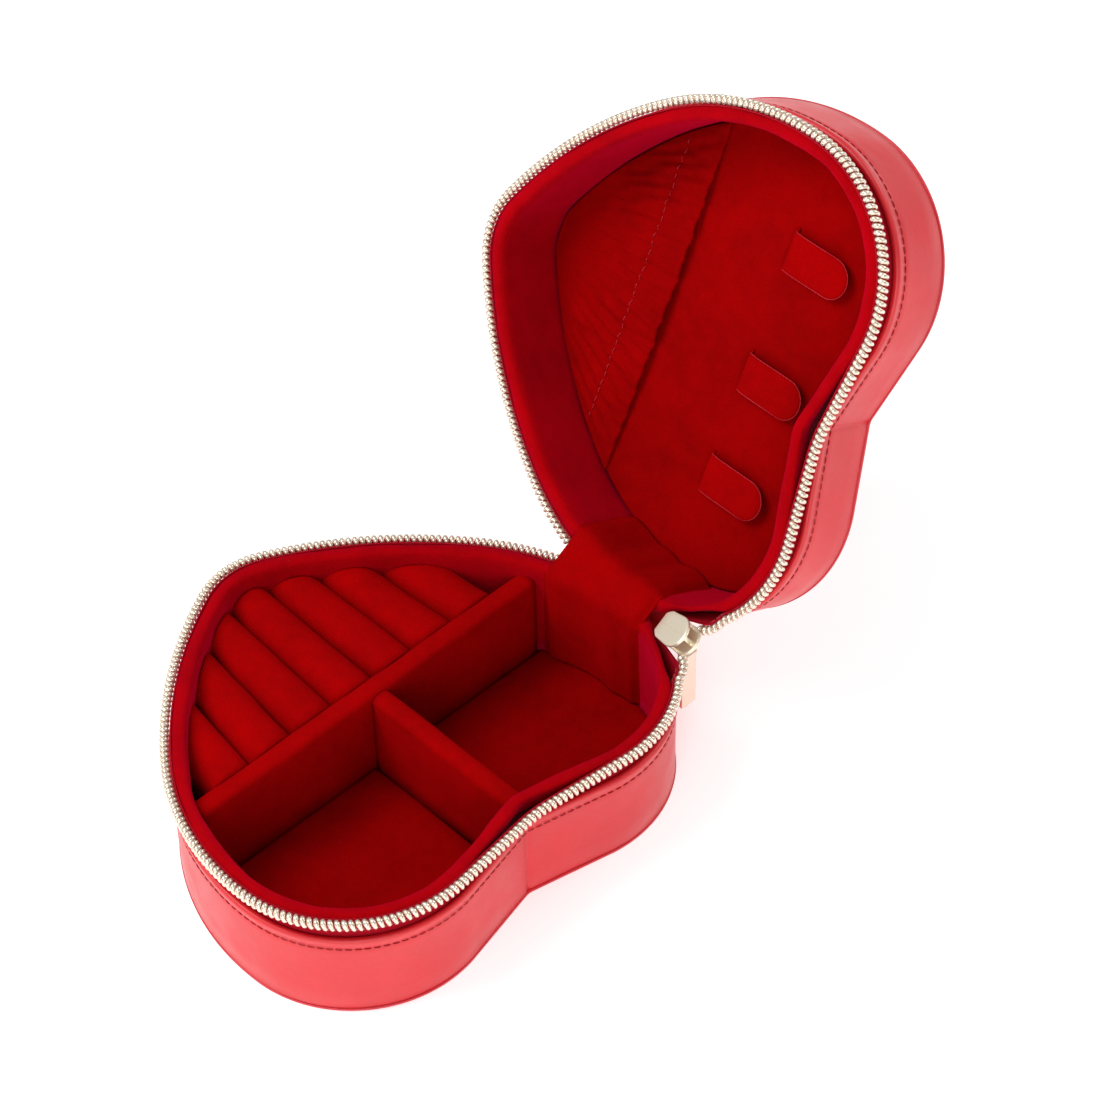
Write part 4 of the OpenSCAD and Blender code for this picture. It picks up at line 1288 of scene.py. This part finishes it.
RAIL_IN, RAIL_OUT = SLIDER_W / 2 - 1.05, SLIDER_W / 2 - 0.35
slider_parts = [
    bevelled(shield_plan(SLIDER_W), INNER_FACE - PLATE_T, INNER_FACE, 0.22),
    bevelled(shield_plan(SLIDER_W - 0.4), OUTER_FACE, OUTER_FACE + PLATE_T, 0.22),
    block((-SLIDER_L / 2 + 0.5, INNER_FACE - PLATE_T - 0.07, -0.11),
          (SLIDER_L / 2 - 0.5, INNER_FACE - PLATE_T + 0.1, 0.11), 0.05),
    block((1.2, INNER_FACE - 0.1, -0.6), (3.4, OUTER_FACE + 0.1, 0.6), 0.2),
    block((-3.5, OUTER_FACE - 1.6, RAIL_IN), (0.9, OUTER_FACE + 0.1, RAIL_OUT)),
    block((-3.5, OUTER_FACE - 1.6, -RAIL_OUT), (0.9, OUTER_FACE + 0.1, -RAIL_IN)),
]
bail_path = [(-2.95, OUTER_FACE + PLATE_T - 0.2, 0)]
y_top = OUTER_FACE + PLATE_T + BAIL_GAP + BAIL_T / 2
for a in np.linspace(math.pi, math.pi / 2, 6):
    bail_path.append((-1.85 + 1.1 * math.cos(a), y_top - 1.1 + 1.1 * math.sin(a), 0))
for a in np.linspace(math.pi / 2, 0, 6):
    bail_path.append((0.85 + 1.1 * math.cos(a), y_top - 1.1 + 1.1 * math.sin(a), 0))
bail_path.append((1.95, OUTER_FACE + PLATE_T - 0.2, 0))
slider_parts.append(tube(np.array(bail_path), 0.42, 12))
verts, faces = gather(slider_parts)
slider = part("zip_slider_body", (slider_frame(verts), faces), GOLD, sharp_deg=35)
place(slider, "zip_slider", "gold", "zip_slider")


def link_centre():
    local = np.array([-1.95, OUTER_FACE + PLATE_T + 2.7 + 0.45 + 0.15, -0.85])
    return slider_frame(local)


LINK_C, LINK_R, LINK_WIRE, LINK_DROP = link_centre(), 2.7, 0.45, 2.6
link_path = []
for a in np.linspace(0, math.pi, 17):
    link_path.append((0, LINK_R * math.cos(a), LINK_R * math.sin(a)))
for a in np.linspace(0, math.pi / 2, 5)[1:]:
    link_path.append((0, -LINK_R + 0.6 - 0.6 * math.cos(a), -LINK_DROP + 0.6 - 0.6 * math.sin(a)))
for a in np.linspace(math.pi / 2, 0, 5):
    link_path.append((0, LINK_R - 0.6 + 0.6 * math.cos(a), -LINK_DROP + 0.6 - 0.6 * math.sin(a)))
link_shape = tube(np.array(link_path) + LINK_C, LINK_WIRE, 12, closed=True, up=np.array([1.0, 0.0, 0.0]))
link = part("pull_link_ring", link_shape, GOLD)
place(link, "pull_link", "gold", "pull_link")

PIN = LINK_C - np.array([0, 0, LINK_DROP])


def pull_profile():
    """The tab: a rolled eye round the link and the plate below it."""
    eye = LINK_WIRE + 0.12 + 0.5
    n_eye = 28
    rows = []
    width, hole = (PULL_W - 0.4) / 2, LINK_WIRE + 0.12
    section = ((hole, -width), (eye - 0.12, -width), (eye, -width + 0.12),
               (eye, width - 0.12), (eye - 0.12, width), (hole, width))
    for k in range(n_eye):
        a = 2 * math.pi * k / n_eye
        rows.append([(math.cos(a) * r, y, math.sin(a) * r) for r, y in section])
    rows = np.array(rows)
    eye_part = (rows.reshape(-1, 3), grid_faces(n_eye, 6, True, True, False))
    side = [(PULL_W / 2, -PULL_L), (PULL_W / 2, -eye - 0.5), (PULL_W / 2 - 0.25, -eye + 0.1)]
    outline_pts = [(-x, z) for x, z in side[::-1]] + side
    plan = np.array(rounded(outline_pts, [0.2, 0.2, 0.5, 0.5, 0.2, 0.2], 5))
    v, f = bevelled(plan, -PULL_T / 2, PULL_T / 2, 0.2)
    plate = (v[:, [1, 0, 2]], f)
    return gather([eye_part, plate])


verts, faces = pull_profile()
pull = part("pull_tab_plate", (verts + PIN, faces), ROSE, sharp_deg=40)
place(pull, "pull_tab", "rose", "pull_tab")

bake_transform(gusset)
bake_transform(spine)

# ---------------------------------------------------------------- floor, light and camera
FLOOR_SIZE, BACKDROP_R = 12.0, 5.0
bpy.ops.mesh.primitive_plane_add(size=FLOOR_SIZE, location=(0, 0, 0))
floor = bpy.context.object
floor.name = "studio_floor"
m = Nodes("paper_floor")
floor_tone = m.ramp(m.noise(6, 4), [(0.3, (0.86, 0.86, 0.86)), (0.7, (0.89, 0.89, 0.89))])
floor_rough = m.ramp(m.noise(30, 2), [(0.3, 0.9), (0.7, 1.0)])
floor.data.materials.append(m.done(floor_tone, floor_rough, None, Specular_IOR_Level=0.1,
                                   Emission_Color=(1, 1, 1, 1)))
away = m.add("ShaderNodeVectorMath", operation="LENGTH")
m.link(m.coords.outputs["Object"], away.inputs[0])
glow = m.ramp(m.math("DIVIDE", away.outputs["Value"], BACKDROP_R), [(0.08, 0.42), (0.3, 1.0)])
m.link(glow, m.bsdf.inputs["Emission Strength"])
floor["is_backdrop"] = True

bpy.ops.mesh.primitive_cylinder_add(vertices=96, radius=BACKDROP_R, depth=2 * BACKDROP_R,
                                    end_fill_type="NOTHING", location=(0, 0, 0))
backdrop = bpy.context.object
backdrop.name = "studio_backdrop"
m = Nodes("paper_backdrop")
backdrop.data.materials.append(m.done(None, None, None, Base_Color=(0.9, 0.9, 0.9, 1),
                                      Emission_Color=(1, 1, 1, 1), Emission_Strength=1.0))
backdrop.visible_diffuse = backdrop.visible_glossy = backdrop.visible_shadow = False
backdrop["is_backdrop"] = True

world = bpy.data.worlds.new("studio")
world.use_nodes = True
world.node_tree.nodes["Background"].inputs["Color"].default_value = (1, 1, 1, 1)
world.node_tree.nodes["Background"].inputs["Strength"].default_value = 0.4
bpy.context.scene.world = world
bpy.context.scene.view_settings.view_transform = "Standard"


def area_light(name, location, target, size, power):
    data = bpy.data.lights.new(name, "AREA")
    data.shape, data.size, data.energy = "SQUARE", size, power
    light = bpy.data.objects.new(name, data)
    light.location = location
    light.rotation_mode = "QUATERNION"
    light.rotation_quaternion = (Vector(target) - Vector(location)).to_track_quat("-Z", "Y")
    bpy.context.scene.collection.objects.link(light)


AIM = (0, 0.02, 0.03)
area_light("key_softbox", (-0.35, -0.35, 0.75), AIM, 0.5, 5.2)
area_light("front_softbox", (0.55, -0.5, 0.35), AIM, 0.45, 2.7)
area_light("back_softbox", (0.2, 0.7, 0.6), AIM, 0.4, 2.2)

AZIMUTH, ELEVATION, ROLL = math.radians(47.06), math.radians(45.61), math.radians(-1.5)
right = Vector((math.cos(AZIMUTH), math.sin(AZIMUTH), 0))
back = Vector((math.sin(AZIMUTH) * math.cos(ELEVATION), -math.cos(AZIMUTH) * math.cos(ELEVATION),
               math.sin(ELEVATION)))
up = back.cross(right)
camera_data = bpy.data.cameras.new("camera")
FILM, FOCAL_PX, FRAME_PX = 36, 3817.4, 1100
camera_data.lens, camera_data.sensor_width = FILM * FOCAL_PX / FRAME_PX, FILM
camera_data.clip_start, camera_data.clip_end = 0.01, 20
camera = bpy.data.objects.new("camera", camera_data)
bpy.context.scene.collection.objects.link(camera)
MIDDLE_Z, SHIFT_X, SHIFT_Y, DISTANCE = 39.25, 32.34, 29.27, 841.4
camera.location = Vector((0, 0, MIDDLE_Z)) * MM + (right * SHIFT_X + up * SHIFT_Y + back * DISTANCE) * MM
turn = Matrix((right, up, back)).transposed() @ Matrix.Rotation(ROLL, 3, "Z")
camera.rotation_mode = "QUATERNION"
camera.rotation_quaternion = turn.to_quaternion()
bpy.context.scene.camera = camera

low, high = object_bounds()
